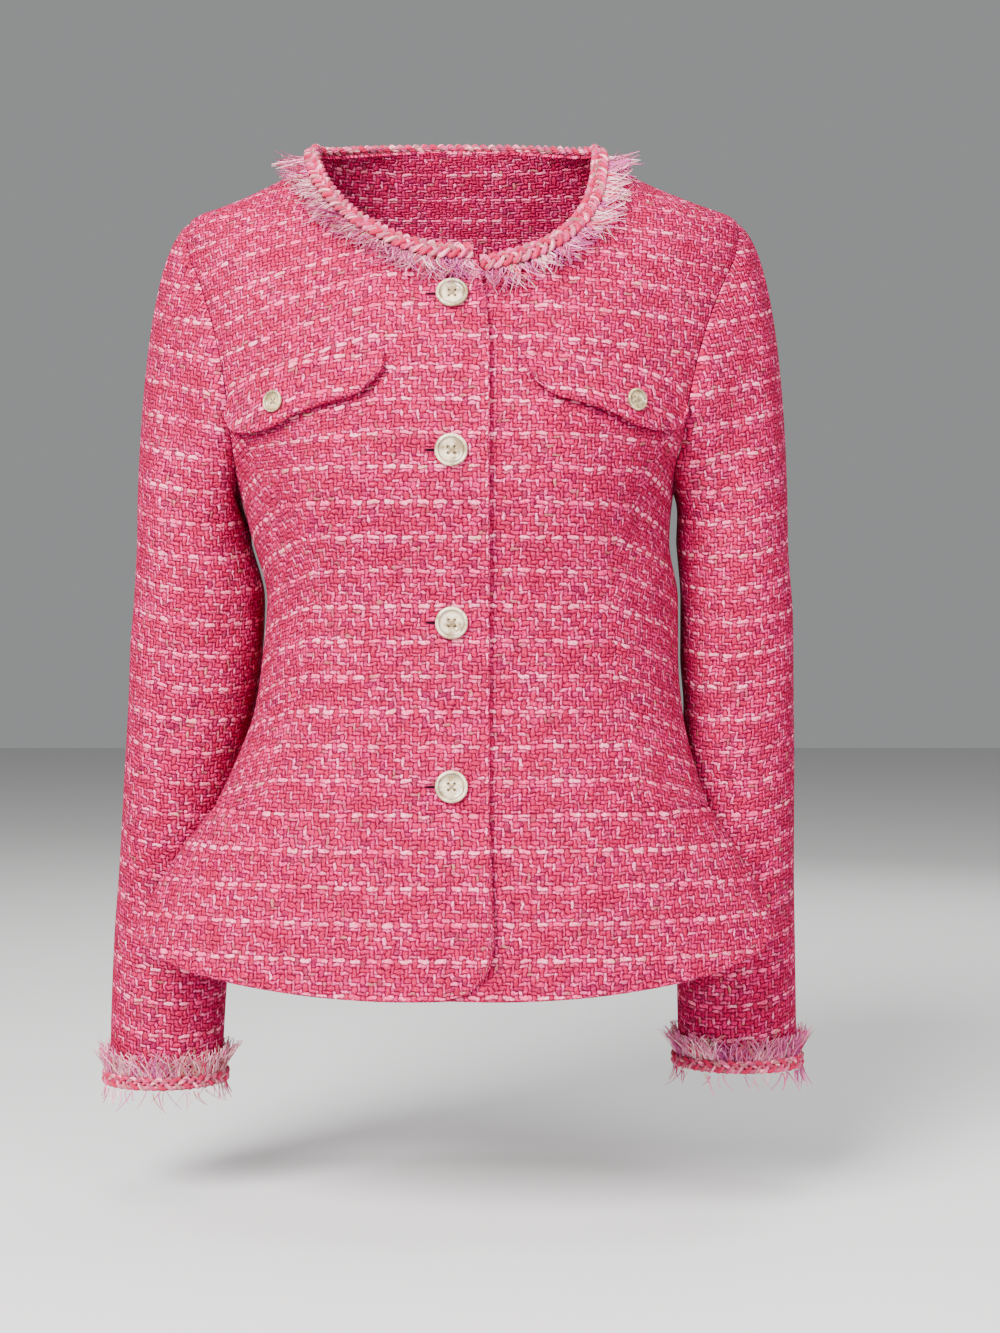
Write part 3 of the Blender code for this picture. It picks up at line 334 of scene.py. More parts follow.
# Colours along the tone of a yarn: place from 0 to 1 and six-digit code
DEEP_STOPS = (
    (0.0, "9C0036"), (0.36, "B00040"), (0.45, "C4044C"), (0.54, "D02C6C"), (0.61, "8C0848"),
    (0.70, "9C3C50"), (1.0, "8A6450"),
)
LIGHT_STOPS = (
    (0.0, "BC0450"), (0.33, "D41C64"), (0.42, "F05090"), (0.52, "FFA0B8"), (0.60, "F46098"),
    (0.70, "C08878"), (1.0, "A8846C"),
)
WHITE_STOPS = (
    (0.0, "C81058"), (0.36, "EC4C80"), (0.46, "FF80A0"), (0.56, "FFB0C0"), (0.64, "FF8CA8"),
    (0.72, "DCA898"), (1.0, "C0A08C"),
)
BRAID_STOPS = (
    (0.0, "A80038"), (0.22, "BC0844"), (0.32, "C42C64"), (0.45, "8C4058"), (0.60, "9C7064"),
    (0.72, "C4487C"), (0.86, "DC6488"), (1.0, "F49CA8"),
)
FRINGE_STOPS = (
    (0.0, "8C1C5C"), (0.20, "A83C80"), (0.38, "CC5C90"), (0.54, "EC88AC"), (0.70, "FCCCD6"),
    (0.80, "BC9884"), (0.88, "D81850"), (1.0, "C0003C"),
)

# Grain of the panels
SLEEVE_WEFT_OUT = 0.11
SLEEVE_WEFT_BACK = 0.22
SIDE_GRAIN_TILT = 0.24
GRAIN_ROWS = 161
GRAIN_LEVELS = 150
GRAIN_SPOKES = 117
GRAIN_REACH = 290.0
CHEST_TILT = {-1: 0.30, 1: 0.06}
CHEST_TILT_FROM = 50.0
CHEST_TILT_HEIGHTS = (-235.0, -175.0)

# Plait and fringe of the trim
PLAIT_STEP = 1.5
NECK_PATH_LENGTH = 760.0
CUFF_STEPS = 200
YARNS_IN_STRAND = 6
STRAND_TINTS = (0.12, 0.50, 0.78)
YARN_TINTS = (-0.10, 0.12, -0.28, 0.26, 0.02, -0.20)
FRINGE_SIDES = 3
FRINGE_STEPS = 5
YARN_SIDES = 6
TINT_STEPS = 60
NECK_YARNS = 2100
NECK_YARN_LENGTHS = (8.5, 19.5)
CUFF_YARNS = 900
CUFF_YARN_LENGTHS = (9.0, 19.0)
# Where the neck trim starts on each front, along x from the right front's edge
NECK_TRIM_START = {-1: -1.0, 1: 4.5}
NECK_PATH_POINTS = 40
# Tones of the fringe's tufts, and how often each comes
TUFT_TINTS = (0.24, 0.34, 0.45, 0.56, 0.64, 0.70)
TUFT_SHARES = (0.10, 0.20, 0.22, 0.20, 0.16, 0.12)

# Camera, floor and lights, in metres: name, place, size, power and colour of each light
LENS_MM = 61.7
CAMERA_PLACE = (0.0315, -1.6, -0.3616)
FLOOR_Z = -0.74
FLOOR_REACH = 9.0
FLOOR_COLOUR = (0.66, 0.66, 0.65, 1)
WORLD_COLOUR = (0.80, 0.81, 0.82, 1.0)
WORLD_STRENGTH = 0.36
LIGHTS_AIM = (0.0, 0.0, -0.32)
LIGHTS = (
    ("key", (-1.1, -2.2, 1.2), 1.5, 312.0, (1.0, 0.985, 0.98)),
    ("fill", (1.6, -2.0, 0.3), 1.8, 68.0, (0.97, 0.985, 1.0)),
    ("top", (0.0, -0.3, 1.9), 1.4, 36.0, (1.0, 1.0, 1.0)),
    ("rim", (0.9, 2.0, 0.8), 1.4, 22.0, (1.0, 1.0, 1.0)),
)


def smooth_table(rows, columns):
    """Return a function that reads a short table at any place, smoothly and without overshoot."""
    data = np.array(sorted(rows), dtype=float)
    at = data[:, 0]
    values = data[:, 1:]
    steps = np.diff(at)
    rises = np.diff(values, axis=0) / steps[:, None]
    slopes = np.zeros_like(values)
    slopes[0] = rises[0]
    slopes[-1] = rises[-1]
    same_way = rises[:-1] * rises[1:] > 0
    before = steps[:-1, None]
    after = steps[1:, None]
    weight_a = 2 * after + before
    weight_b = after + 2 * before
    safe_a = np.where(same_way, rises[:-1], 1.0)
    safe_b = np.where(same_way, rises[1:], 1.0)
    harmonic = (weight_a + weight_b) / (weight_a / safe_a + weight_b / safe_b)
    slopes[1:-1] = np.where(same_way, harmonic, 0.0)

    def read(place):
        place = np.clip(np.asarray(place, dtype=float), at[0], at[-1])
        cell = np.clip(np.searchsorted(at, place, side="right") - 1, 0, len(at) - 2)
        step = steps[cell]
        part = (place - at[cell]) / step
        found = {}
        for number, name in enumerate(columns[1:]):
            low = values[cell, number]
            high = values[cell + 1, number]
            rise_low = slopes[cell, number] * step
            rise_high = slopes[cell + 1, number] * step
            cube = part ** 3
            square = part ** 2
            found[name] = (
                low * (2 * cube - 3 * square + 1) + rise_low * (cube - 2 * square + part)
                + high * (3 * square - 2 * cube) + rise_high * (cube - square)
            )
        return found

    return read


body_at = smooth_table(BODY_ROWS, BODY_COLUMNS)
dent_at = smooth_table(DENT_ROWS, DENT_COLUMNS)
front_edge_at = smooth_table(FRONT_EDGE, FRONT_EDGE_COLUMNS)
shaping_at = smooth_table(SHAPING_SEAM, SHAPING_COLUMNS)
back_shaping_at = smooth_table(BACK_SHAPING_SEAM, BACK_SHAPING_COLUMNS)
head_at = smooth_table(HEAD_ROWS, HEAD_COLUMNS)
hem_at = smooth_table(HEM_ROWS, HEM_COLUMNS)
flap_depth_at = smooth_table(FLAP_DEPTHS, FLAP_DEPTH_COLUMNS)
sleeve_at = {
    -1: smooth_table(SLEEVE_LEFT, SLEEVE_COLUMNS),
    1: smooth_table(SLEEVE_RIGHT, SLEEVE_COLUMNS),
}


def stack(x, y, z):
    """Join three coordinate arrays into points."""
    return np.stack(np.broadcast_arrays(x, y, z), axis=-1).astype(float)


def unit(vectors):
    """Scale vectors to length one."""
    return vectors / np.maximum(np.linalg.norm(vectors, axis=-1, keepdims=True), 1e-9)


def smooth_step(value, low, high):
    """0 below low, 1 above high, eased between."""
    part = np.clip((value - low) / (high - low), 0, 1)
    return part * part * (3 - 2 * part)


def ridge(x, z, x0, z0, x1, z1, spread):
    """1 along a line between two places, fading to both sides and towards the ends."""
    run_x = x1 - x0
    run_z = z1 - z0
    length = math.hypot(run_x, run_z)
    along = ((x - x0) * run_x + (z - z0) * run_z) / length
    across = ((x - x0) * run_z - (z - z0) * run_x) / length
    past_end = np.maximum(np.abs(along - length / 2) - length / 4, 0) / (length / 4)
    return np.exp(-(across / spread) ** 2 - past_end ** 2)


def run_along(points):
    """Distance of each point of a line from the first one, along the line."""
    return np.concatenate([[0], np.cumsum(np.linalg.norm(np.diff(points, axis=0), axis=1))])


def resample(rows, at, places):
    """Rows of values that are known at some places, read at other places."""
    return np.stack([np.interp(places, at, column) for column in rows.T], axis=-1)


def heading(points, closed=False):
    """Unit directions along a line of points, or round a closed ring."""
    if closed:
        return unit(np.roll(points, -1, 0) - np.roll(points, 1, 0))
    return unit(np.gradient(points, axis=0))


def front_relief(x, z):
    """How far the front stands out of its plain section at x, z."""
    height = np.zeros(np.broadcast(x, z).shape)
    for at_x, at_z, spread_x, spread_z, rise in FRONT_FORMS:
        height += rise * np.exp(-((x - at_x) / spread_x) ** 2 - ((z - at_z) / spread_z) ** 2)
    for *ends, spread, depth in CREASES:
        height -= depth * ridge(x, z, *ends, spread)
    return height


def body(angle, z):
    """Outer surface of the bodice at an angle from the front (degrees, + to +X) and a height."""
    angle = np.mod(np.asarray(angle, dtype=float) + 180, 360) - 180
    z = np.asarray(z, dtype=float)
    row = body_at(z)
    dent = dent_at(z)
    turn = np.radians(angle)
    is_right = angle > 0
    half_width = np.where(is_right, row["right"], row["left"])
    depth = np.where(np.cos(turn) > 0, row["front"], row["back"])
    pressed = np.where(is_right, dent["right"], dent["left"])
    near_arm = np.exp(-0.5 * ((np.abs(angle) - DENT_ANGLE) / DENT_SPREAD) ** 2)
    x = half_width * np.sin(turn) - np.sign(angle) * pressed * near_arm
    fullness = 1 + SECTION_FULLNESS * np.sin(turn) ** 2
    y = row["mid_y"] - depth * np.cos(turn) * fullness
    facing = np.clip(np.cos(turn) / FRONT_FADE, 0, 1)
    y = y - front_relief(x, z) * facing ** 2 * (3 - 2 * facing)
    return stack(x, y, z)


def surface_normal(surface, first, second, step_first, step_second):
    """Unit normal of a two-parameter surface by central differences."""
    along_first = surface(first + step_first, second) - surface(first - step_first, second)
    along_second = surface(first, second + step_second) - surface(first, second - step_second)
    return unit(np.cross(along_first, along_second))


def body_normal(angle, z):
    """Outward normal of the bodice."""
    return surface_normal(body, np.asarray(angle, float), np.asarray(z, float), NORMAL_STEP_ANGLE,
                          NORMAL_STEP_HEIGHT)


def angle_at(x, z):
    """Front angle at which the bodice has a given x, at a height."""
    row = body_at(z)
    half_width = np.where(np.asarray(x) > 0, row["right"], row["left"])
    return np.degrees(np.arcsin(np.clip(np.asarray(x) / half_width, -1, 1)))


def coons(top, inner, outer):
    """Fill a panel down to the waist seam from lines of (angle, z): top, inner and outer side."""
    across = np.linspace(0, 1, len(top))
    bottom = line(inner[0, 0] + (outer[0, 0] - inner[0, 0]) * across, WAIST_SEAM_Z)
    across = across[None, :, None]
    upward = np.linspace(0, 1, len(inner))[:, None, None]
    between = (1 - upward) * bottom[None] + upward * top[None]
    sideways = (1 - across) * inner[:, None] + across * outer[:, None]
    corners = (
        (1 - upward) * ((1 - across) * bottom[0] + across * bottom[-1])
        + upward * ((1 - across) * top[0] + across * top[-1])
    )
    return between + sideways - corners


def armhole(side, turn):
    """Angle and height of the armhole line: turn 0 at the shoulder, 90 in front, 180 below."""
    turn = np.radians(np.asarray(turn, dtype=float))
    swell = np.where(np.sin(turn) >= 0, ARMHOLE_FRONT_SWELL, ARMHOLE_BACK_SWELL)
    angle = SIDE_SEAM_ANGLE - swell * np.sin(turn) * (1 - ARMHOLE_SKEW * np.cos(turn))
    middle = (SHOULDER_POINT_Z + UNDERARM_Z) / 2
    reach = (SHOULDER_POINT_Z - UNDERARM_Z) / 2
    return side * angle, middle + reach * np.cos(turn)


def line(angles, heights):
    """Pairs of angle and height."""
    return np.stack(np.broadcast_arrays(angles, heights), axis=-1).astype(float)


def front_neckline(side, start_x, count):
    """Neckline of a front from start_x near the centre to the side neck point."""
    half_width = NECK[side]["half_width"]
    squareness = NECK[side]["squareness"]
    turns = np.linspace(0, math.pi / 2, count)
    x = side * half_width * np.sin(turns)
    x = x + (start_x - x[0]) * np.cos(turns) ** 2
    past = np.clip(np.abs(x) / half_width, 0, 1)
    past = np.where(side * x > 0, past, 0)
    heights = -NECK[side]["front_drop"] * (1 - past ** squareness) ** (1 / squareness)
    return line(angle_at(x, heights), heights)


def back_neckline(side, count):
    """Neckline of the back from the centre back to the side neck point."""
    half_width = NECK[side]["half_width"]
    x = half_width * np.sin(np.linspace(0, math.pi / 2, count))
    heights = BACK_NECK_Z * (1 - (x / half_width) ** 2)
    return line(side * (180 - np.abs(angle_at(side * x, heights))), heights)


def shoulder_seam(side, count):
    """Shoulder seam from the side neck point to the shoulder point."""
    heights = np.linspace(0, SHOULDER_POINT_Z, count)
    return line(side * SIDE_SEAM_ANGLE * np.ones(count), heights)


def overlap_shift(points):
    """How far the left front lies under the right one: full under it, none past its edge."""
    past = points[..., 0] - front_edge_at(points[..., 2])["x"]
    ease = 1 - smooth_step(past, OVERLAP_FULL, OVERLAP_FULL + OVERLAP_BLEND)
    return (CLOTH + OVERLAP_GAP) * ease


def waist_radius(angle):
    """Distance from the centre to the waist seam at a plan angle, signed like the front angle."""
    sweep = np.linspace(-179.9, 179.9, 721)
    ring = body(sweep, np.full(sweep.shape, WAIST_SEAM_Z))
    plan_angle = np.degrees(np.arctan2(ring[:, 0], -ring[:, 1]))
    reach = np.hypot(ring[:, 0], ring[:, 1])
    return np.interp(angle, plan_angle, reach, period=360)


def peplum(angle, down):
    """Outer surface of the peplum: plan angle in degrees, down from 0 at the seam to 1."""
    angle = np.asarray(angle, dtype=float)
    down = np.asarray(down, dtype=float)
    hem = hem_at(np.abs(angle))
    hem_radius = np.where(angle > 0, hem["right"], hem["left"])
    top_radius = waist_radius(angle)
    flare = (1 + FLARE_LEAD) * down - FLARE_LEAD * down ** 2
    radius = top_radius + (hem_radius - top_radius) * flare
    z = WAIST_SEAM_Z + (hem["z"] - WAIST_SEAM_Z) * down
    turn = np.radians(angle)
    return stack(radius * np.sin(turn), -radius * np.cos(turn), z)


def peplum_normal(angle, down):
    """Outward normal of the peplum."""
    inside = np.clip(down, 0.02, 0.98)
    return -surface_normal(peplum, np.asarray(angle, float), inside, 0.5, 0.02)


def sleeve(side, turn, down):
    """Outer surface of a sleeve: turn 0 at the top, 90 in front, 180 inside, 270 behind.

    down runs from 0 at the armhole to 1 at the upper arm, and on to 2 at the cuff.
    """
    turn, down = np.broadcast_arrays(np.asarray(turn, float), np.asarray(down, float))
    turn = np.mod(turn, 360)
    lower = np.clip(down - 1, 0, 1)
    z = BICEP_Z + (CUFF_Z[side] - BICEP_Z) * lower
    row = sleeve_at[side](z)
    half_width = (row["outer"] - row["inner"]) / 2
    middle = (row["outer"] + row["inner"]) / 2
    angle = np.radians(turn)
    x = side * (middle + half_width * np.cos(angle))
    y = row["mid_y"] - row["half_depth"] * np.sin(angle)
    ring = stack(x, y, z)
    seam_turn = np.where(turn > 180, turn - 360, turn)
    at_angle, at_z = armhole(side, seam_turn)
    start = body(at_angle, at_z)
    normal = body_normal(at_angle, at_z)
    next_angle, next_z = armhole(side, seam_turn + 0.5)
    past_angle, past_z = armhole(side, seam_turn - 0.5)
    tangent = unit(body(next_angle, next_z) - body(past_angle, past_z))
    into_hole = unit(np.cross(normal, tangent))
    hole_z = (SHOULDER_POINT_Z + UNDERARM_Z) / 2
    centre = body(side * SIDE_SEAM_ANGLE, hole_z)
    pointing = np.sum(into_hole * (centre - start), axis=-1, keepdims=True)
    into_hole = np.where(pointing < 0, -into_hole, into_hole)
    head = head_at(np.abs(seam_turn))
    leave = np.radians(head["leave_angle"])[..., None]
    apart = np.cos(leave / 2) * into_hole + np.sin(leave / 2) * normal
    begin = start + SLEEVE_CLEAR * apart
    heading = np.cos(leave) * into_hole + np.sin(leave) * normal
    first = begin + heading * head["leave_reach"][..., None]
    second = ring + stack(0.0, 0.0, head["ring_reach"])
    part = np.clip(down, 0, 1)[..., None]
    rest = 1 - part
    cap = (
        rest ** 3 * begin + 3 * rest ** 2 * part * first
        + 3 * rest * part ** 2 * second + part ** 3 * ring
    )
    return np.where(down[..., None] < 1, cap, ring)


def sleeve_normal(side, turn, down):
    """Outward normal of a sleeve."""
    turn, down = np.broadcast_arrays(np.asarray(turn, float), np.asarray(down, float))
    low = np.clip(down - 0.01, 0, 2)
    high = np.clip(down + 0.01, 0, 2)
    along = sleeve(side, turn, high) - sleeve(side, turn, low)
    around = sleeve(side, turn + 1, down) - sleeve(side, turn - 1, down)
    return -unit(np.cross(along, around)) * side


def flap_place(flap, along, down):
    """Angle and height on a front at a share of the flap's width and a distance down."""
    sweep = FLAP_TOP_SWEEP * math.pi / 2
    width = flap["outer_x"] - flap["inner_x"]
    drop = flap["outer_z"] - flap["inner_z"]
    x = flap["inner_x"] + width * np.sin(along * sweep) / math.sin(sweep)
    z = flap["inner_z"] + drop * along ** FLAP_TOP_DROOP - down
    return angle_at(flap["side"] * x, z), z


def neck_path(count):
    """Line of the neckline from the right front's edge, round the back, to the left front.

    Gives points, outward normals, directions into the neck opening and places along the line.
    """
    top_x = float(front_edge_at(-NECK[-1]["front_drop"])["x"])
    right_front = front_neckline(-1, top_x + NECK_TRIM_START[-1], NECK_PATH_POINTS)
    back_right = back_neckline(-1, NECK_PATH_POINTS)[::-1]
    back_left = back_neckline(1, NECK_PATH_POINTS)
    left_front = front_neckline(1, top_x + NECK_TRIM_START[1], NECK_PATH_POINTS)[::-1]
    pairs = np.vstack([right_front, back_right[1:], back_left[1:], left_front[1:]])
    points = body(pairs[:, 0], pairs[:, 1])
    normals = body_normal(pairs[:, 0], pairs[:, 1])
    beside = points + np.array([BRAID_HALF_WIDTH * 2, 0.0, 0.0])
    under = overlap_shift(beside) * (np.arange(len(points)) > len(points) * 3 // 4)
    points = points - normals * under[:, None]
    lengths = run_along(points)
    places = np.linspace(0, lengths[-1], count)
    points = resample(points, lengths, places)
    normals = unit(resample(normals, lengths, places))
    inward = unit(np.cross(heading(points), normals))
    if inward[0, 2] < 0:
        inward = -inward
    return points, normals, inward, places


def cuff_path(side, height, count):
    """Ring round a cuff at a height above its end, with normals and the way up the sleeve."""
    turns = np.linspace(0, 360, count, endpoint=False)
    share = 2 - height / (BICEP_Z - CUFF_Z[side])
    points = sleeve(side, turns, np.full(count, share))
    normals = sleeve_normal(side, turns, np.full(count, share))
    upward = np.tile([0.0, 0.0, 1.0], (count, 1))
    upward = unit(upward - normals * np.sum(upward * normals, axis=1, keepdims=True))
    return points, normals, upward


def refine(points, factor):
    """Points of a smooth curve through given points, with factor steps between each two."""
    padded = np.vstack([2 * points[0] - points[1], points, 2 * points[-1] - points[-2]])
    found = []
    for number in range(len(points) - 1):
        p0, p1, p2, p3 = padded[number:number + 4]
        for step in range(factor):
            t = step / factor
            found.append(0.5 * (
                2 * p1 + (p2 - p0) * t + (2 * p0 - 5 * p1 + 4 * p2 - p3) * t ** 2
                + (3 * p1 - p0 - 3 * p2 + p3) * t ** 3
            ))
    found.append(points[-1])
    return np.array(found)


def shaping_seam(side, facing):
    """Shaping seam from the waist up to the armhole: facing is 1 on the front, -1 on the back."""
    top_angle, top_z = armhole(side, facing * SHAPING_TOP_TURN)
    heights = np.linspace(WAIST_SEAM_Z, float(top_z), SEAM_ROWS + 1)
    if facing > 0:
        column = shaping_at(heights)["left" if side < 0 else "right"]
        angles = angle_at(side * column, heights)
    else:
        angles = side * back_shaping_at(heights)["angle"]
    angles[-1] = float(top_angle)
    angles[-2] = (angles[-1] + angles[-2] * 2) / 3
    return refine(line(angles, heights), FINE)


def crowd(patch, edges):
    """Add a line of points close to each named edge of a grid, so that the edge can turn in."""
    for edge in edges:
        axis, last = EDGES[edge]
        lines = np.moveaxis(patch, axis, 0)
        rim, beside = (lines[-1], lines[-2]) if last else (lines[0], lines[1])
        near = rim + (beside - rim) * EDGE_STEP
        patch = np.insert(patch, len(lines) - 1 if last else 1, near, axis=axis)
    return patch


def ditch(shape, edges):
    """How far each point of a grid turns in at the sewn edges."""
    depth = np.zeros(shape)
    for edge in edges:
        axis, last = EDGES[edge]
        np.moveaxis(depth, axis, 0)[-1 if last else 0] = SEAM_DITCH
    return depth


def front_patch(side):
    """Angles and heights over a front."""
    edge_z_top = -NECK[side]["front_drop"]
    top_x = front_edge_at(edge_z_top)["x"] if side < 0 else UNDER_EDGE_X
    neck = front_neckline(side, float(top_x), NECK_CELLS * FINE + 1)
    top = np.vstack([neck, shoulder_seam(side, SHOULDER_CELLS * FINE + 1)[1:]])
    turns = np.linspace(SHAPING_TOP_TURN, 0, FRONT_ARMHOLE_CELLS * FINE + 1)[1:]
    outer = np.vstack([shaping_seam(side, 1), line(*armhole(side, turns))])
    edge_z = np.linspace(WAIST_SEAM_Z, edge_z_top, len(outer))
    edge_x = front_edge_at(edge_z)["x"] if side < 0 else np.full(len(outer), UNDER_EDGE_X)
    inner = line(angle_at(edge_x, edge_z), edge_z)
    inner[-1] = top[0]
    return coons(top, inner, outer)


def side_patch(side, facing):
    """Angles and heights over a side front or side back, from its shaping seam to the side."""
    turns = facing * np.linspace(SHAPING_TOP_TURN, 180, SIDE_ARMHOLE_CELLS * SIDE_FINE + 1)
    inner = shaping_seam(side, facing)
    side_z = np.linspace(WAIST_SEAM_Z, UNDERARM_Z, len(inner))
    return coons(line(*armhole(side, turns)), inner, line(side * SIDE_SEAM_ANGLE, side_z))


def back_patch(side):
    """Angles and heights over one half of the back, from the centre to its shaping seam."""
    neck = back_neckline(side, NECK_CELLS * FINE + 1)
    top = np.vstack([neck, shoulder_seam(side, SHOULDER_CELLS * FINE + 1)[1:]])
    turns = np.linspace(-SHAPING_TOP_TURN, 0, FRONT_ARMHOLE_CELLS * FINE + 1)[1:]
    outer = np.vstack([shaping_seam(side, -1), line(*armhole(side, turns))])
    centre_z = np.linspace(WAIST_SEAM_Z, BACK_NECK_Z, len(outer))
    return coons(top, line(side * 180.0, centre_z), outer)


# Length round the bodice at each height, and up its front, for the grain of its panels
GRAIN_ANGLES = np.linspace(-182.0, 182.0, 183)
GRAIN_HEIGHTS = np.linspace(WAIST_SEAM_Z - 5, 20.0, 97)
ring_points = body(GRAIN_ANGLES[None, :], GRAIN_HEIGHTS[:, None])
ring_steps = np.linalg.norm(np.diff(ring_points, axis=1), axis=2)
RING_LENGTH = np.concatenate([np.zeros((len(GRAIN_HEIGHTS), 1)), np.cumsum(ring_steps, axis=1)], 1)
PROFILE_ANGLE = 30.0
profile_points = body(np.full(len(GRAIN_HEIGHTS), PROFILE_ANGLE), GRAIN_HEIGHTS)
PROFILE_LENGTH = run_along(profile_points)


def girth_at(angle, z):
    """Length round the bodice from the angle -182 to an angle, at a height."""
    across = (np.asarray(angle) - GRAIN_ANGLES[0]) / (GRAIN_ANGLES[1] - GRAIN_ANGLES[0])
    upward = (np.asarray(z) - GRAIN_HEIGHTS[0]) / (GRAIN_HEIGHTS[1] - GRAIN_HEIGHTS[0])
    column = np.clip(across.astype(int), 0, len(GRAIN_ANGLES) - 2)
    row = np.clip(upward.astype(int), 0, len(GRAIN_HEIGHTS) - 2)
    a = across - column
    b = upward - row
    return (
        (1 - b) * ((1 - a) * RING_LENGTH[row, column] + a * RING_LENGTH[row, column + 1])
        + b * ((1 - a) * RING_LENGTH[row + 1, column] + a * RING_LENGTH[row + 1, column + 1])
    )


def body_grain(patch, middle_angle):
    """Grain coordinates of a bodice panel, across from a middle angle and up from the waist."""
    angle = patch[..., 0]
    z = patch[..., 1]
    across = girth_at(angle, z) - girth_at(np.full_like(angle, middle_angle), z)
    upward = np.interp(z, GRAIN_HEIGHTS, PROFILE_LENGTH) - np.interp(
        WAIST_SEAM_Z, GRAIN_HEIGHTS, PROFILE_LENGTH)
    return np.stack([across, upward], axis=-1)


def make_piece(name, points, faces, corner_uv=None, tints=None, material=None, sharp=50.0):
    """Make a mesh object that rides on the jacket, from points in millimetres."""
    mesh = bpy.data.meshes.new(name)
    mesh.from_pydata((np.asarray(points) * MM).tolist(), [], [tuple(f) for f in faces])
    if corner_uv is not None:
        layer = mesh.uv_layers.new(name="grain")
        layer.data.foreach_set("uv", np.asarray(corner_uv, dtype=np.float32).ravel())
    if tints is not None:
        layer = mesh.attributes.new("tint", "FLOAT", "POINT")
        layer.data.foreach_set("value", np.asarray(tints, dtype=np.float32))
    shape = bmesh.new()
    shape.from_mesh(mesh)
    bmesh.ops.recalc_face_normals(shape, faces=shape.faces[:])
    shape.to_mesh(mesh)
    shape.free()
    mesh.shade_smooth()
    mesh.set_sharp_from_angle(angle=math.radians(sharp))
    mesh.materials.append(material)
    piece = bpy.data.objects.new(name, mesh)
    bpy.context.scene.collection.objects.link(piece)
    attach(piece, "root")
    return piece


def make_shell(name, outer, inner, grain, material):
    """A closed cloth shell between two grids, with the grain as texture coordinates."""
    rows, columns = outer.shape[:2]
    below = rows * columns
    points = np.vstack([outer.reshape(-1, 3), inner.reshape(-1, 3)])
    flat = grain.reshape(-1, 2)
    faces = []
    for row in range(rows - 1):
        for column in range(columns - 1):
            a = row * columns + column
            b = a + 1
            c = b + columns
            d = a + columns
            faces.append((a, b, c, d))
            faces.append((below + d, below + c, below + b, below + a))
    high = (rows - 1) * columns
    for column in range(columns - 1):
        beside = column + 1
        faces.append((column, column + below, beside + below, beside))
        faces.append((high + column, high + beside, high + beside + below, high + column + below))
    for row in range(rows - 1):
        for edge in (0, columns - 1):
            low = row * columns + edge
            faces.append((low, low + columns, low + columns + below, low + below))
    corners = flat[np.array(faces).ravel() % below]
    return make_piece(name, points, faces, corners, material=material)


def cloth_area(outer):
    """Area of a grid of points, in square metres."""
    across = outer[:-1, 1:] - outer[:-1, :-1]
    upward = outer[1:, :-1] - outer[:-1, :-1]
    return float(np.linalg.norm(np.cross(across, upward), axis=-1).sum()) * MM * MM


def declare_cloth(piece, node, outer, grain):
    """Hide the solid that a panel stands for, and work out the flat size of its cut, which nothing
    uses.
    """
    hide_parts(node)
    width = float(np.ptp(grain[..., 0])) * MM
    length = float(np.ptp(grain[..., 1])) * MM
    area = min(cloth_area(outer), width * length)


def tube_faces(count, sides, closed=False):
    """Faces of a tube of rings, with capped ends unless it is closed."""
    faces = []
    for ring in range(count if closed else count - 1):
        beyond = (ring + 1) % count
        for corner in range(sides):
            beside = (corner + 1) % sides
            faces.append((ring * sides + corner, ring * sides + beside,
                          beyond * sides + beside, beyond * sides + corner))
    if not closed:
        faces.append(tuple(reversed(range(sides))))
        faces.append(tuple((count - 1) * sides + corner for corner in range(sides)))
    return faces


def tube_points(centres, wide, thick, half_width, half_thickness, sides):
    """Rings of points round a line of centres."""
    angles = 2 * np.pi * (np.arange(sides) + 0.5) / sides
    half_width = np.broadcast_to(half_width, (len(centres),))
    half_thickness = np.broadcast_to(half_thickness, (len(centres),))
    rings = (
        centres[:, None]
        + wide[:, None] * (np.cos(angles)[None, :] * half_width[:, None])[..., None]
        + thick[:, None] * (np.sin(angles)[None, :] * half_thickness[:, None])[..., None]
    )
    return rings.reshape(-1, 3)


class Value:
    """A node's output that can be added, subtracted, multiplied and divided."""

    def __init__(self, graph, socket):
        self.graph = graph
        self.socket = socket

    def __add__(self, other):
        return self.graph.math("ADD", self, other)

    def __sub__(self, other):
        return self.graph.math("SUBTRACT", self, other)

    def __rsub__(self, other):
        return self.graph.math("SUBTRACT", other, self)

    def __mul__(self, other):
        return self.graph.math("MULTIPLY", self, other)

    def __truediv__(self, other):
        return self.graph.math("DIVIDE", self, other)


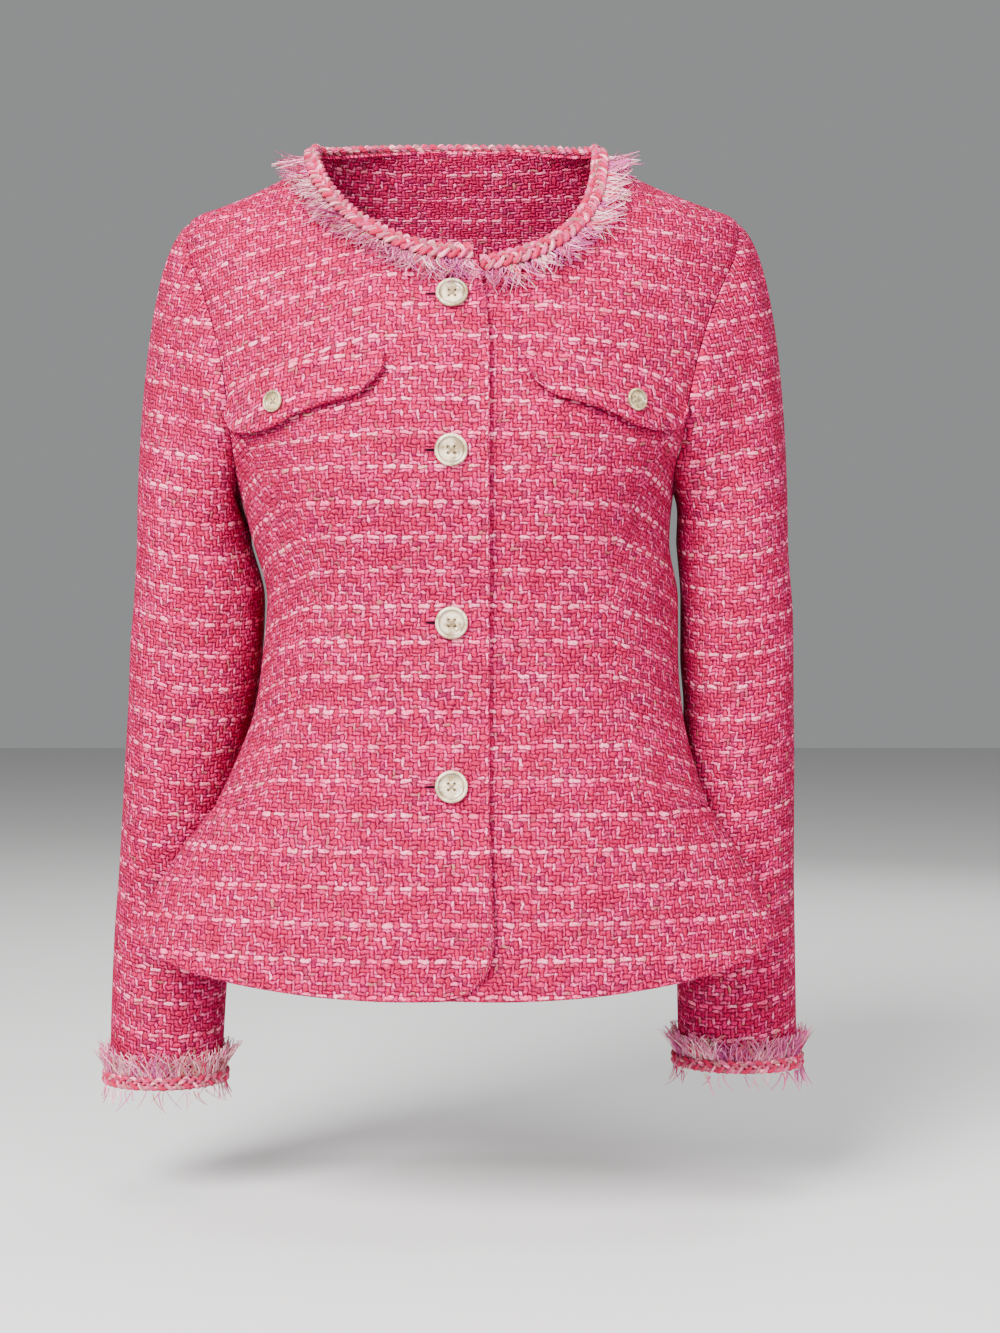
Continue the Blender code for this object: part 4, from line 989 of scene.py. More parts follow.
class Graph:
    """Short calls for building the node tree of a material."""

    def __init__(self, name):
        self.material = bpy.data.materials.new(name)
        self.material.use_nodes = True
        self.tree = self.material.node_tree

    def put(self, value, socket):
        """Set an input to a node's output, to a colour's six-digit code or to a plain value."""
        if isinstance(value, Value):
            self.tree.links.new(value.socket, socket)
        else:
            socket.default_value = colour(value) if isinstance(value, str) else value

    def node(self, kind, output, inputs=None, **settings):
        """Add a node, fill some of its inputs and settings, and give one of its outputs."""
        node = self.tree.nodes.new("ShaderNode" + kind)
        for name, value in settings.items():
            setattr(node, name, value)
        for name, value in (inputs or {}).items():
            self.put(value, node.inputs[name])
        return Value(self, node.outputs[output])

    def math(self, operation, a, b=0.0, c=0.0):
        """One step of arithmetic."""
        return self.node("Math", 0, {0: a, 1: b, 2: c}, operation=operation)

    def fit(self, value, low, high, to_low=0.0, to_high=1.0):
        """A value between low and high, eased to one between to_low and to_high."""
        inputs = {"Value": value, "From Min": low, "From Max": high, "To Min": to_low,
                  "To Max": to_high}
        return self.node("MapRange", "Result", inputs, interpolation_type="SMOOTHSTEP")

    def mix(self, share, a, b):
        """A colour between a and b."""
        return self.node("Mix", 2, {0: share, 6: a, 7: b}, data_type="RGBA")

    def vector(self, x, y, z=0.0):
        """A place from three values."""
        return self.node("CombineXYZ", 0, {0: x, 1: y, 2: z})

    def noise(self, place, scale, detail=2.0, roughness=0.5):
        """Soft random values over places."""
        inputs = {"Vector": place, "Scale": scale, "Detail": detail, "Roughness": roughness}
        return self.node("TexNoise", "Fac", inputs)

    def chance(self, place):
        """A random value from 0 to 1 for each whole place."""
        return self.node("TexWhiteNoise", "Value", {"Vector": place})

    def ramp(self, value, stops):
        """Colour at a value on a line of stops, given as places and six-digit codes."""
        found = self.node("ValToRGB", 0, {0: value})
        elements = found.socket.node.color_ramp.elements
        while len(elements) < len(stops):
            elements.new(0.5)
        for element, (place, code) in zip(elements, stops):
            element.position = place
            element.color = colour(code)
        return found

    def bump(self, height, distance_mm):
        """Normal of a fine relief."""
        inputs = {"Strength": 1.0, "Distance": distance_mm * MM, "Height": height}
        return self.node("Bump", 0, inputs)

    def surface(self, **inputs):
        """Fill the shader's inputs, named with _ for each blank, and give the material."""
        shader = self.tree.nodes["Principled BSDF"]
        for name, value in inputs.items():
            self.put(value, shader.inputs[name.replace("_", " ")])
        return self.material


def colour(code):
    """Linear colour from a six-digit sRGB code."""
    parts = [int(code[at:at + 2], 16) / 255 for at in (0, 2, 4)]
    linear = [p / 12.92 if p <= 0.04045 else ((p + 0.055) / 1.055) ** 2.4 for p in parts]
    return (*linear, 1.0)


def tweed_material(name):
    """Two-over-two twill of light and pink yarns, with white stripes and slubs, and painted shade
    between the yarns.
    """
    g = Graph(name)
    grain = g.node("UVMap", 0, uv_map="grain")
    raw_u, raw_v = (g.node("SeparateXYZ", axis, {0: grain}) for axis in (0, 1))
    place = g.vector(raw_u, raw_v)
    shifted = g.vector(raw_u + 340.0, raw_v + 120.0)

    def wandering(at, value, pair):
        """A place across the yarns, in pairs, with the yarns' wide and small wanderings."""
        wide = (g.noise(at, WEAVE_WOBBLE_SCALE) - 0.5) * WEAVE_WOBBLE
        small = (g.noise(at, YARN_WOBBLE_SCALE) - 0.5) * YARN_WOBBLE
        return (value + (wide + small)) / pair

    def yarn_pair(place_in_pairs, thin_share):
        """Number of a yarn, and the place across it, in pairs of a thin and a thick yarn."""
        part = g.math("FRACT", place_in_pairs)
        thick = g.math("GREATER_THAN", part, thin_share)
        in_thick = (part - thin_share) / (1 - thin_share)
        inside = in_thick * thick + part / thin_share * (1.0 - thick)
        return g.math("MULTIPLY_ADD", g.math("FLOOR", place_in_pairs), 2.0, thick), inside

    def is_each(number, every):
        """1 on every second, fourth or other yarn, and 0 on those between."""
        return g.math("LESS_THAN", g.math("FLOORED_MODULO", number, every), 0.5)

    def rounded(part, amount):
        """Height over a yarn from side to side: 1 in the middle, less at the sides."""
        centred = g.math("MULTIPLY_ADD", part, 2.0, -1.0)
        return 1.0 - centred * centred * amount

    warp, in_warp = yarn_pair(wandering(place, raw_u, WARP_PAIR), THIN_WARP)
    weft, in_weft = yarn_pair(wandering(shifted, raw_v, WEFT_PAIR), THIN_WEFT)
    weft_white = is_each(weft + 1.0, STRIPE_EVERY)
    phase = g.math("FLOORED_MODULO", warp - weft, 4.0)
    over = g.math("LESS_THAN", phase, 1.5 - weft_white)
    warp_float = (1.0 - phase + in_weft) / 2.0
    weft_float = (phase - (2.0 - weft_white) + in_warp) / (weft_white + 2.0)
    warp_height = rounded(in_warp, ROUND_ACROSS) * rounded(warp_float, ROUND_ALONG)
    weft_height = rounded(in_weft, ROUND_ACROSS) * rounded(weft_float, ROUND_ALONG)
    height = warp_height * over + weft_height * (1.0 - over)
    float_group = g.math("FLOOR", (warp - weft) / 4.0)

    def slub(number, along, seed, float_seed):
        """Tone of a yarn: it drifts along the yarn and steps a little from float to float."""
        spot = g.vector(g.math("MULTIPLY_ADD", number, SLUB_APART, seed), along * SLUB_ALONG, seed)
        step = g.chance(g.vector(number, float_group, float_seed)) - 0.5
        return g.math("MULTIPLY_ADD", step, FLOAT_CHANCE, g.noise(spot, 1.0, 4.0, 0.68))

    warp_slub = slub(warp, raw_v, 3.0, 5.0)
    weft_slub = slub(weft, raw_u, 41.0, 17.0)
    warp_deep = g.ramp(warp_slub, DEEP_STOPS)
    warp_light = g.ramp(warp_slub, LIGHT_STOPS)
    weft_deep = g.ramp(weft_slub, DEEP_STOPS)
    warp_pale = g.mix(is_each(warp, 4.0), g.mix(0.55, warp_deep, warp_light), warp_light)
    warp_colour = g.mix(is_each(warp, 2.0), warp_deep, warp_pale)
    weft_pale = g.mix(0.35, g.ramp(weft_slub, LIGHT_STOPS), weft_deep)
    weft_colour = g.mix(is_each(weft, 2.0), weft_deep, weft_pale)
    white_yarn = g.mix(g.fit(rounded(in_weft, 1.0), 0.20, 0.80, 0.80, 0.0),
                       g.ramp(weft_slub, WHITE_STOPS), "EC4478")
    yarn = g.mix(over, g.mix(weft_white, weft_colour, white_yarn), warp_colour)

    cloud = g.noise(g.vector(raw_u * 0.045, raw_v * 0.08, 9.0), 1.0, 3.0, 0.6)
    streak = g.noise(g.vector(raw_u * 0.02, raw_v * 0.16, 9.0), 1.0)
    hot = g.math("MAXIMUM", g.fit(cloud, 0.48, 0.62) * HOT_SHARE,
                 g.fit(streak, 0.52, 0.68, 0.0, HOT_SHARE * 0.8))
    fibre = g.noise(place, 1.5, 4.0, 0.75)
    mottle = g.noise(shifted, 0.62, 3.0, 0.7)
    for share, tone in (
        (hot * g.math("MULTIPLY_ADD", weft_white, -0.4, 1.0), "B40040"),
        (g.fit(mottle, 0.32, 0.50, 0.78, 0.0), "B80042"),
        (g.fit(mottle, 0.53, 0.68, 0.0, 0.50), "FF70A4"),
        # Painted shade: where the weave's relief is low, between the yarns, the colour darkens
        # towards 4C041E.
        (g.math("MULTIPLY_ADD", g.fit(height, 0.10, 0.66), -0.90, 0.90), "4C041E"),
        (g.fit(fibre, 0.34, 0.51, 0.50, 0.0), "64062C"),
        (g.fit(fibre, 0.54, 0.70, 0.0, 0.40), "FF9CBA"),
    ):
        yarn = g.mix(share, yarn, tone)
    deeper = g.node("Gamma", 0, {"Color": yarn, "Gamma": COLOUR_GAMMA})
    cooler = g.node("HueSaturation", 0, {"Color": deeper, "Hue": COLOUR_HUE})
    relief = g.math("MULTIPLY_ADD", fibre, 0.45, height)
    return g.surface(Base_Color=cooler, Roughness=0.95, Specular_IOR_Level=0.05,
                     Normal=g.bump(relief, 1.1))


def yarn_material(name, stops):
    """Soft yarn whose colour follows each strand's tint."""
    g = Graph(name)
    tint = g.node("Attribute", "Fac", attribute_name="tint")
    place = g.node("TexCoord", "Object")
    fibre = g.noise(place, 1400.0, 2.0, 0.6)
    patch = g.noise(place, 160.0, 1.0)
    base = g.ramp(tint + g.math("MULTIPLY_ADD", patch, 0.16, -0.08), stops)
    base = g.mix(g.fit(fibre, 0.35, 0.65, 0.34, 0.0), base, "7A1C44")
    return g.surface(Base_Color=base, Roughness=0.88, Specular_IOR_Level=0.2, Sheen_Weight=0.12,
                     Sheen_Tint="FFC0D0", Normal=g.bump(fibre, 0.35))


def pearl_material(name, pale, deep, painted_shade):
    """Mother-of-pearl button: soft bands of cream and grey under a gloss, with painted shade mixed
    in where its tint attribute says.
    """
    g = Graph(name)
    place = g.node("TexCoord", "Object")
    clouds = g.noise(place, 110.0, 3.0, 0.55)
    base = g.mix(g.fit(clouds, 0.42, 0.60), pale, deep)
    base = g.mix(g.fit(g.noise(place, 520.0), 0.5, 0.75, 0.0, 0.25), base, "FFFDF6")
    tint = g.node("Attribute", "Fac", attribute_name="tint")
    # Painted shade: the tint attribute mixes in the shade colour, in the groove, on the rim's side
    # and underneath.
    base = g.mix(tint * 0.75, base, painted_shade)
    return g.surface(Base_Color=base, Roughness=0.22, Coat_Weight=0.6, Coat_Roughness=0.08,
                     Normal=g.bump(clouds, 0.08))


def plain_material(name, code, roughness):
    """One soft colour with a little mottling."""
    g = Graph(name)
    mottle = g.noise(g.node("TexCoord", "Object"), 900.0)
    base = g.mix(g.fit(mottle, 0.3, 0.7, 0.0, 0.2), code, "3A0C1C")
    return g.surface(Base_Color=base, Roughness=roughness, Specular_IOR_Level=0.05)


tweed = tweed_material("tweed")
braid_yarn = yarn_material("braid", BRAID_STOPS)
fringe_yarn = yarn_material("fringe", FRINGE_STOPS)
# The last colour of each pearl is its painted shade.
pearl = pearl_material("pearl", "D8C2A2", "8C7654", "4E3E2E")
flap_pearl = pearl_material("pearl_yellow", "BCA478", "846F4A", "463820")
slit_thread = plain_material("buttonhole_thread", "8C1840", 0.9)
# Painted shade: the near-black of the buttonhole's slit.
slit_painted_shade = plain_material("buttonhole_slit", "12020A", 0.95)
# Painted shade: the dark seen through a button's holes.
hole_painted_shade = plain_material("button_hole", "2E2018", 0.9)
button_thread = plain_material("button_thread", "8E7A5E", 0.8)


def edge_stand(points):
    """How far the right front's free edge stands off the left one under it."""
    edge = front_edge_at(points[..., 2])["x"]
    near = 1 - np.clip((edge - points[..., 0]) / EDGE_STAND_WIDTH, 0, 1)
    return EDGE_STAND * near ** 2


def body_shell(node, patch, edges, grain, side=0):
    """A panel of the bodice: side is 1 for the front that lies under, -1 for the one over it."""
    points = body(patch[..., 0], patch[..., 1])
    normals = body_normal(patch[..., 0], patch[..., 1])
    if side > 0:
        points = points - normals * overlap_shift(points)[..., None]
    if side < 0:
        points = points + normals * edge_stand(points)[..., None]
    points = points - normals * ditch(patch.shape[:2], edges)[..., None]
    inner = points - normals * CLOTH
    declare_cloth(make_shell(node + "_cloth", points, inner, grain, tweed), node, points, grain)
    return points, inner


def front_grain(side, patch):
    """Grain of a front: the wefts of the chest drop towards the armhole."""
    grain = body_grain(patch, 0.0)
    x = np.abs(body(patch[..., 0], patch[..., 1])[..., 0])
    reach = np.maximum(x - CHEST_TILT_FROM, 0) * smooth_step(patch[..., 1], *CHEST_TILT_HEIGHTS)
    grain[..., 1] += CHEST_TILT[side] * reach
    return grain


def side_grain(side, facing, patch):
    """Grain of a side panel, cut at a slant to the front's."""
    seam = shaping_seam(side, facing)
    seam_angle = np.interp(patch[..., 1], seam[:, 1], seam[:, 0])
    outwards = np.abs(girth_at(patch[..., 0], patch[..., 1]) - girth_at(seam_angle, patch[..., 1]))
    upward = body_grain(patch, 0.0)[..., 1]
    across = outwards - upward * SIDE_GRAIN_TILT
    return np.stack([side * facing * across, upward + outwards * SIDE_GRAIN_TILT], axis=-1)


for side, node in ((-1, "front_right"), (1, "front_left")):
    edges = ("bottom", "outer")
    patch = crowd(front_patch(side), edges)
    shell = body_shell(node, patch, edges, front_grain(side, patch), side)
    if side < 0:
        over_front = shell
for side, hand in ((-1, "right"), (1, "left")):
    for facing, word in ((1, "front"), (-1, "back")):
        edges = ("bottom", "inner", "outer")
        patch = crowd(side_patch(side, facing), edges)
        body_shell(f"side_{word}_{hand}", patch, edges, side_grain(side, facing, patch))
right_half, left_half = (crowd(back_patch(side), ("bottom", "outer")) for side in (-1, 1))
back_grain = np.hstack([body_grain(left_half, 180.0)[:, ::-1],
                        body_grain(right_half, -180.0)[:, 1:]])
right_half[..., 0] += 360
back_all = np.hstack([left_half[:, ::-1], right_half[:, 1:]])
body_shell("back", back_all, ("bottom", "inner", "outer"), back_grain)


def peplum_grain(angles, points):
    """Grain of the peplum: wefts level, warps an even distance apart along each level line."""
    middle = 0.0 if abs(angles[0, angles.shape[1] // 2]) < 90 else 180.0
    steps = np.linalg.norm(np.diff(points, axis=1), axis=2)
    runs = np.hstack([np.zeros((len(points), 1)), np.cumsum(steps, axis=1)])
    order = 1 if angles[0, -1] > angles[0, 0] else -1
    at_middle = np.array([np.interp(middle, angles[0][::order], run[::order]) for run in runs])
    across = (runs - at_middle[:, None]) * order
    return np.stack([across, points[..., 2] - WAIST_SEAM_Z], axis=-1)


def peplum_shell(node, angles, down, edges):
    """A piece of the peplum over a grid of angles and depths."""
    angles = angles + 0 * down
    down = down + 0 * angles
    wrapped = np.where(angles > 180, angles - 360, angles)
    points = peplum(wrapped, down)
    normals = peplum_normal(wrapped, down)
    if node == "peplum_front_left":
        points = points - normals * overlap_shift(points)[..., None]
    elif node == "peplum_front_right":
        points = points + normals * edge_stand(points)[..., None]
    points = points - normals * ditch(points.shape[:2], edges)[..., None]
    grain = peplum_grain(angles, points)
    inner = points - normals * CLOTH
    piece = make_shell(node + "_cloth", points, inner, grain, tweed)
    declare_cloth(piece, node, points, grain)
    return points, inner


waist_front = float(body(0.0, WAIST_SEAM_Z)[1])
hem_front = float(hem_at(0.0)["left"])
peplum_length = WAIST_SEAM_Z - float(hem_at(0.0)["z"])
over_angle = math.degrees(math.atan2(float(front_edge_at(WAIST_SEAM_Z)["x"]), -waist_front))
under_angle = math.degrees(math.atan2(UNDER_EDGE_X, -waist_front))
peplum_down = crowd(np.linspace(0, 1, PEPLUM_ROWS), ("bottom",))[:, None]
from_front = np.linspace(0, 1, PEPLUM_FRONT_COLUMNS) ** PEPLUM_CROWDING
columns = crowd(over_angle + (-SIDE_SEAM_ANGLE - over_angle) * from_front, ("top",))[None, :]
from_edge = np.radians(over_angle - columns) * hem_front
corner = np.clip(HEM_CORNER_RADIUS - from_edge, 0, HEM_CORNER_RADIUS)
rise = HEM_CORNER_RADIUS - np.sqrt(HEM_CORNER_RADIUS ** 2 - corner ** 2)
right_peplum = peplum_shell("peplum_front_right", columns,
                            peplum_down * (1 - rise / peplum_length), ("bottom", "outer"))
columns = np.linspace(under_angle, SIDE_SEAM_ANGLE, PEPLUM_FRONT_COLUMNS)
columns = crowd(columns, ("top",))[None, :]
left_peplum = peplum_shell("peplum_front_left", columns, peplum_down, ("bottom", "outer"))
columns = np.linspace(SIDE_SEAM_ANGLE, 360 - SIDE_SEAM_ANGLE, PEPLUM_BACK_COLUMNS)
columns = crowd(columns, ("bottom", "top"))[None, :]
back_peplum = peplum_shell("peplum_back", columns, peplum_down, ("bottom", "inner", "outer"))


def sleeve_folds(side, turn, z):
    """Height of a sleeve's soft folds at a turn and a height."""
    height = np.zeros(np.broadcast(turn, z).shape)
    for turn0, z0, turn1, z1, spread, rise in SLEEVE_FOLDS[side]:
        ends = turn0 * FOLD_MM_PER_DEGREE, z0, turn1 * FOLD_MM_PER_DEGREE, z1
        height += rise * ridge(turn * FOLD_MM_PER_DEGREE, z, *ends, spread)
    return height


def sleeve_grain(side, turns, points):
    """Grain of a sleeve: wefts rise outwards and backwards, warps an even distance apart."""
    down = np.linspace(0, 2, GRAIN_ROWS)
    top_line = sleeve(side, 0.0, down)
    fall = np.interp(-points[..., 2], -top_line[:, 2], run_along(top_line))
    levels = np.linspace(float(top_line[0, 2]), CUFF_Z[side], GRAIN_LEVELS)
    spokes = np.linspace(0, GRAIN_REACH, GRAIN_SPOKES)
    around = np.zeros(points.shape[:2])
    for way in (-1, 1):
        outline = []
        for spoke in spokes:
            path = sleeve(side, way * spoke, down)
            depth = np.maximum.accumulate(-path[:, 2])
            outline.append([np.interp(-levels, depth, path[:, axis]) for axis in (0, 1)])
        gaps = np.linalg.norm(np.diff(np.array(outline), axis=0), axis=1)
        reach = np.vstack([np.zeros(len(levels)), np.cumsum(gaps, axis=0)])
        for column in range(points.shape[1]):
            turn = turns[0, column] * way
            if turn < 0:
                continue
            spoke = min(int(turn / spokes[1]), len(spokes) - 2)
            part = turn / spokes[1] - spoke
            girth = reach[spoke] * (1 - part) + reach[spoke + 1] * part
            around[:, column] = way * np.interp(-points[:, column, 2], -levels, girth)
    rise = SLEEVE_WEFT_OUT * side * points[..., 0] + SLEEVE_WEFT_BACK * points[..., 1]
    return np.stack([-side * around, -fall - rise], axis=-1)


def build_sleeve(side, hand):
    """A sleeve in two pieces, open at the armhole and at the cuff."""
    front_cell = (180 - SHAPING_TOP_TURN) / SIDE_ARMHOLE_CELLS
    front_seam = 180 - front_cell * UNDER_FRONT_CELLS
    back_cell = SHAPING_TOP_TURN / FRONT_ARMHOLE_CELLS
    back_seam = 360 - SHAPING_TOP_TURN + back_cell * UNDER_BACK_CELLS
    head = np.linspace(0, 1, SLEEVE_HEAD_ROWS)[:-1] ** SLEEVE_HEAD_CROWDING
    down = np.concatenate([head, 1 + np.linspace(0, 1, SLEEVE_ROWS)])[:, None]
    for part, first, last in (("top", back_seam - 360, front_seam),
                              ("under", front_seam, back_seam)):
        turns = np.linspace(first, last, SLEEVE_CELLS[part] + 1)
        turns = crowd(turns, ("bottom", "top"))[None, :]
        points = sleeve(side, turns, down)
        normals = sleeve_normal(side, turns, down)
        strength = np.clip(down * 2, 0, 1) * np.clip((2 - down) * 8, 0, 1)
        ends = np.clip((turns - first) / 12, 0, 1) * np.clip((last - turns) / 12, 0, 1)
        height = sleeve_folds(side, turns, points[..., 2]) * strength * ends
        height = height - ditch(points.shape[:2], ("inner", "outer"))
        points = points + normals * height[..., None]
        grain = sleeve_grain(side, turns, points)
        node = f"{part}_sleeve_{hand}"
        piece = make_shell(node + "_cloth", points, points - normals * CLOTH, grain, tweed)
        declare_cloth(piece, node, points, grain)


build_sleeve(-1, "right")
build_sleeve(1, "left")


def build_flap(flap, hand):
    """A chest flap on its front's surface, its lower edge standing a little proud."""
    along = np.linspace(0, 1, FLAP_COLUMNS)[None, :]
    part = np.linspace(0, 1, FLAP_ROWS)[:, None]
    down = part * flap_depth_at(along)["depth"]
    angle, z = flap_place(flap, along + 0 * part, down)
    normals = body_normal(angle, z)
    stand = FLAP_GAP + FLAP_LIFT * part ** 2 + FLAP_EDGE_STAND * part ** 4
    inner = body(angle, z) + normals * stand[..., None]
    outer = inner + normals * FLAP_CLOTH
    across = run_along(outer[0])[None, :] + 0 * part
    grain = np.stack([flap["side"] * across, -down], -1)
    piece = make_shell(f"flap_{hand}_cloth", outer, inner, grain, tweed)
    declare_cloth(piece, f"flap_{hand}", outer, grain)
    return [np.vstack([face[:, 0], face[-1, 1:-1], face[::-1, -1]]) for face in (outer, inner)]


flap_rims = {hand: build_flap(flap, hand) for hand, flap in FLAPS.items()}


def edge_beads(name, rim, rim_inner, radius):
    """The turned edge of the cloth: a row of small humps where the yarns go round it."""
    middle = (rim + rim_inner) / 2
    lengths = run_along(middle)
    run = np.linspace(0, lengths[-1], max(int(lengths[-1] / BEAD_STEP), 2))
    centres = resample(middle, lengths, run)
    thick = unit(resample(unit(rim - rim_inner), lengths, run))
    wide = unit(np.cross(heading(centres), thick))
    hump = np.abs(np.sin(2 * np.pi * run / WARP_PAIR)) ** 0.7
    half = radius * (0.62 + 0.38 * hump)
    points = tube_points(centres, wide, thick, half, half + 0.35, BEAD_SIDES)
    faces = tube_faces(len(centres), BEAD_SIDES)
    grain = [(run[index // BEAD_SIDES], EDGE_GRAIN_FROM + (index % BEAD_SIDES) * 0.7)
             for face in faces for index in face]
    make_piece(name, points, faces, grain, material=tweed, sharp=80)


for hand, rims in flap_rims.items():
    edge_beads(f"flap_{hand}_edge", *rims, FLAP_BEAD_RADIUS)
edge_beads("front_edge", over_front[0][:, 0], over_front[1][:, 0], BEAD_RADIUS)
edge_beads("peplum_edge", right_peplum[0][:, 0], right_peplum[1][:, 0], BEAD_RADIUS)
for name, shell in (("right", right_peplum), ("left", left_peplum), ("back", back_peplum)):
    edge_beads(f"hem_edge_{name}", shell[0][-1], shell[1][-1], BEAD_RADIUS)


def circle(centre, across, upward, radius, count):
    """Points round a circle."""
    turns = 2 * math.pi * np.arange(count) / count
    return [centre + (across * math.cos(turn) + upward * math.sin(turn)) * radius
            for turn in turns]


def cut_holes(button, name, centre, across, upward, normal, radius, thickness):
    """Cut four round holes through a button."""
    holes = bpy.data.meshes.new(name)
    shape = bmesh.new()
    middles = circle(centre, unit(across + upward), unit(upward - across), radius * HOLE_REACH, 4)
    for middle in middles:
        rims = [[shape.verts.new(tuple(point * MM)) for point in
                 circle(middle + normal * height, across, upward, radius * HOLE_SIZE, HOLE_SIDES)]
                for height in (-1.0, thickness + 1.0)]
        for corner in range(HOLE_SIDES):
            beside = (corner + 1) % HOLE_SIDES
            shape.faces.new((rims[0][corner], rims[0][beside], rims[1][beside], rims[1][corner]))
        shape.faces.new(rims[0][::-1])
        shape.faces.new(rims[1])
    bmesh.ops.recalc_face_normals(shape, faces=shape.faces[:])
    shape.to_mesh(holes)
    shape.free()
    cutter = bpy.data.objects.new(name, holes)
    bpy.context.scene.collection.objects.link(cutter)
    cut = button.modifiers.new("holes", "BOOLEAN")
    cut.operation = "DIFFERENCE"
    cut.solver = "EXACT"
    cut.object = cutter
    depsgraph = bpy.context.evaluated_depsgraph_get()
    cut_mesh = bpy.data.meshes.new_from_object(button.evaluated_get(depsgraph))
    button.modifiers.clear()
    button.data = cut_mesh
    bpy.data.objects.remove(cutter, do_unlink=True)


def build_button(name, node, centre, normal, radius, thickness, material):
    """A four-hole button with a rolled rim and a dished middle, sewn on with thread."""
    across = unit(np.cross(np.array([0.0, 0.0, 1.0]), normal))
    upward = unit(np.cross(normal, across))
    sides = BUTTON_SIDES
    rings = BUTTON_PROFILE[1:-1]
    points = [centre]
    # Each ring's tint is its share of painted shade.
    tints = [BUTTON_PROFILE[0][2]]
    for ring_radius, height, tint in rings:
        level = centre + normal * height * thickness
        points.extend(circle(level, across, upward, ring_radius * radius, sides))
        tints.extend([tint] * sides)
    points.append(centre + normal * BUTTON_PROFILE[-1][1] * thickness)
    tints.append(BUTTON_PROFILE[-1][2])
    faces = []
    top = 1 + (len(rings) - 1) * sides
    for number in range(sides):
        beside = (number + 1) % sides
        faces.append((0, 1 + beside, 1 + number))
        for low in range(1, top, sides):
            high = low + sides
            faces.append((low + number, low + beside, high + beside, high + number))
        faces.append((top + number, top + beside, len(points) - 1))
    button = make_piece(name, points, faces, tints=tints, material=material, sharp=60)
    cut_holes(button, name + "_holes", centre, across, upward, normal, radius, thickness)
    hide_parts(node)
    thread_points = []
    thread_faces = []
    run = np.linspace(-1, 1, 9)
    for sign in (-1, 1):
        run_way = unit(across + sign * upward)
        side_way = unit(across - sign * upward)
        bow = (0.25 + 0.12 * sign) * (1 - run ** 4) - 1.1 * np.abs(run) ** 6
        lift = 0.49 * thickness + bow
        for lane in (-1, 0, 1):
            start = centre + side_way * lane * radius * THREAD_APART
            centres = (start + run_way * (run * radius * HOLE_REACH)[:, None]
                       + normal * lift[:, None])
            tangent = heading(centres)
            wide = unit(np.cross(tangent, np.tile(normal, (len(run), 1))))
            thick = unit(np.cross(wide, tangent))
            base = len(thread_points)
            size = radius * THREAD_SIZE
            thread_points.extend(tube_points(centres, wide, thick, size, size, YARN_SIDES))
            thread_faces.extend([tuple(base + index for index in face)
                                 for face in tube_faces(len(run), YARN_SIDES)])
    thread = make_piece(name + "_thread", thread_points, thread_faces, material=button_thread)
    # A dark disc of painted shade inside the button, seen only through its holes.
    sides = HOLE_SHADE_SIDES
    disc = [point for height in (0.12, 0.2) for point in
            circle(centre + normal * height * thickness, across, upward, radius * 0.5, sides)]
    disc_faces = [tuple(range(sides - 1, -1, -1)), tuple(range(sides, 2 * sides))]
    disc_faces += [(n, (n + 1) % sides, sides + (n + 1) % sides, sides + n) for n in range(sides)]
    hole_shade_disc = make_piece(name + "_shank", disc, disc_faces, material=hole_painted_shade)


def build_buttonhole(name, centre, normal):
    """A slit of painted shade, a near-black strip on the cloth, with close stitches round it."""
    across = unit(np.array([1.0, 0.0, 0.0]) - normal * normal[0])
    upward = unit(np.cross(normal, across))
    turns = np.linspace(0, 2 * np.pi, 120, endpoint=False)
    straight = (BUTTONHOLE_LENGTH - BUTTONHOLE_WIDTH) / 2
    x = np.cos(turns) * BUTTONHOLE_WIDTH / 2 + np.sign(np.cos(turns)) * straight * np.minimum(
        np.abs(np.cos(turns)) * 4, 1)
    y = np.sin(turns) * BUTTONHOLE_WIDTH / 2
    centres = centre + across * x[:, None] + upward * y[:, None] + normal * 0.1
    thick = np.tile(normal, (len(turns), 1))
    wide = unit(np.cross(heading(centres, closed=True), thick))
    stitch = 0.40 + 0.12 * np.sin(np.arange(len(turns)) * 2.1)
    points = tube_points(centres, wide, thick, stitch, stitch * 0.8, YARN_SIDES)
    faces = tube_faces(len(turns), YARN_SIDES, closed=True)
    piece = make_piece(name, points, faces, material=slit_thread)
    # The slit: a near-black strip on the cloth, painted shade for the opening.
    run = np.linspace(-1, 1, 21)
    middle = centre + across * (run * (BUTTONHOLE_LENGTH / 2 - 0.4))[:, None] + normal * 0.42
    half = (1 - 0.9 * run ** 8) * BUTTONHOLE_WIDTH * 0.40
    wide = np.tile(upward, (len(run), 1))
    points = tube_points(middle, wide, np.tile(normal, (len(run), 1)), half, 0.16, 8)
    slit = make_piece(name + "_slit", points, tube_faces(len(run), 8), material=slit_painted_shade)


for number, height in enumerate(BUTTON_HEIGHTS, start=1):
    button_angle = angle_at(0.01, height)
    button_normal = body_normal(button_angle, height)
    seat = body(button_angle, height)
    build_button(f"button_{number}_pearl", f"button_{number}", seat + button_normal * BUTTON_GAP,
                 button_normal, BUTTON_RADIUS, BUTTON_THICKNESS, pearl)
    hole_angle = angle_at(BUTTONHOLE_X, height)
    build_buttonhole(f"buttonhole_{number}", body(hole_angle, height),
                     body_normal(hole_angle, height))
for hand, flap in FLAPS.items():
    button_angle, height = flap_place(flap, FLAP_BUTTON_ALONG, FLAP_BUTTON_DOWN)
    button_normal = body_normal(button_angle, height)
    seat = body(button_angle, height) + button_normal * (FLAP_GAP + FLAP_CLOTH + FLAP_LIFT)
    build_button(f"flap_button_{hand}_pearl", f"flap_button_{hand}", seat, button_normal,
                 FLAP_BUTTON_RADIUS, FLAP_BUTTON_THICKNESS, flap_pearl)


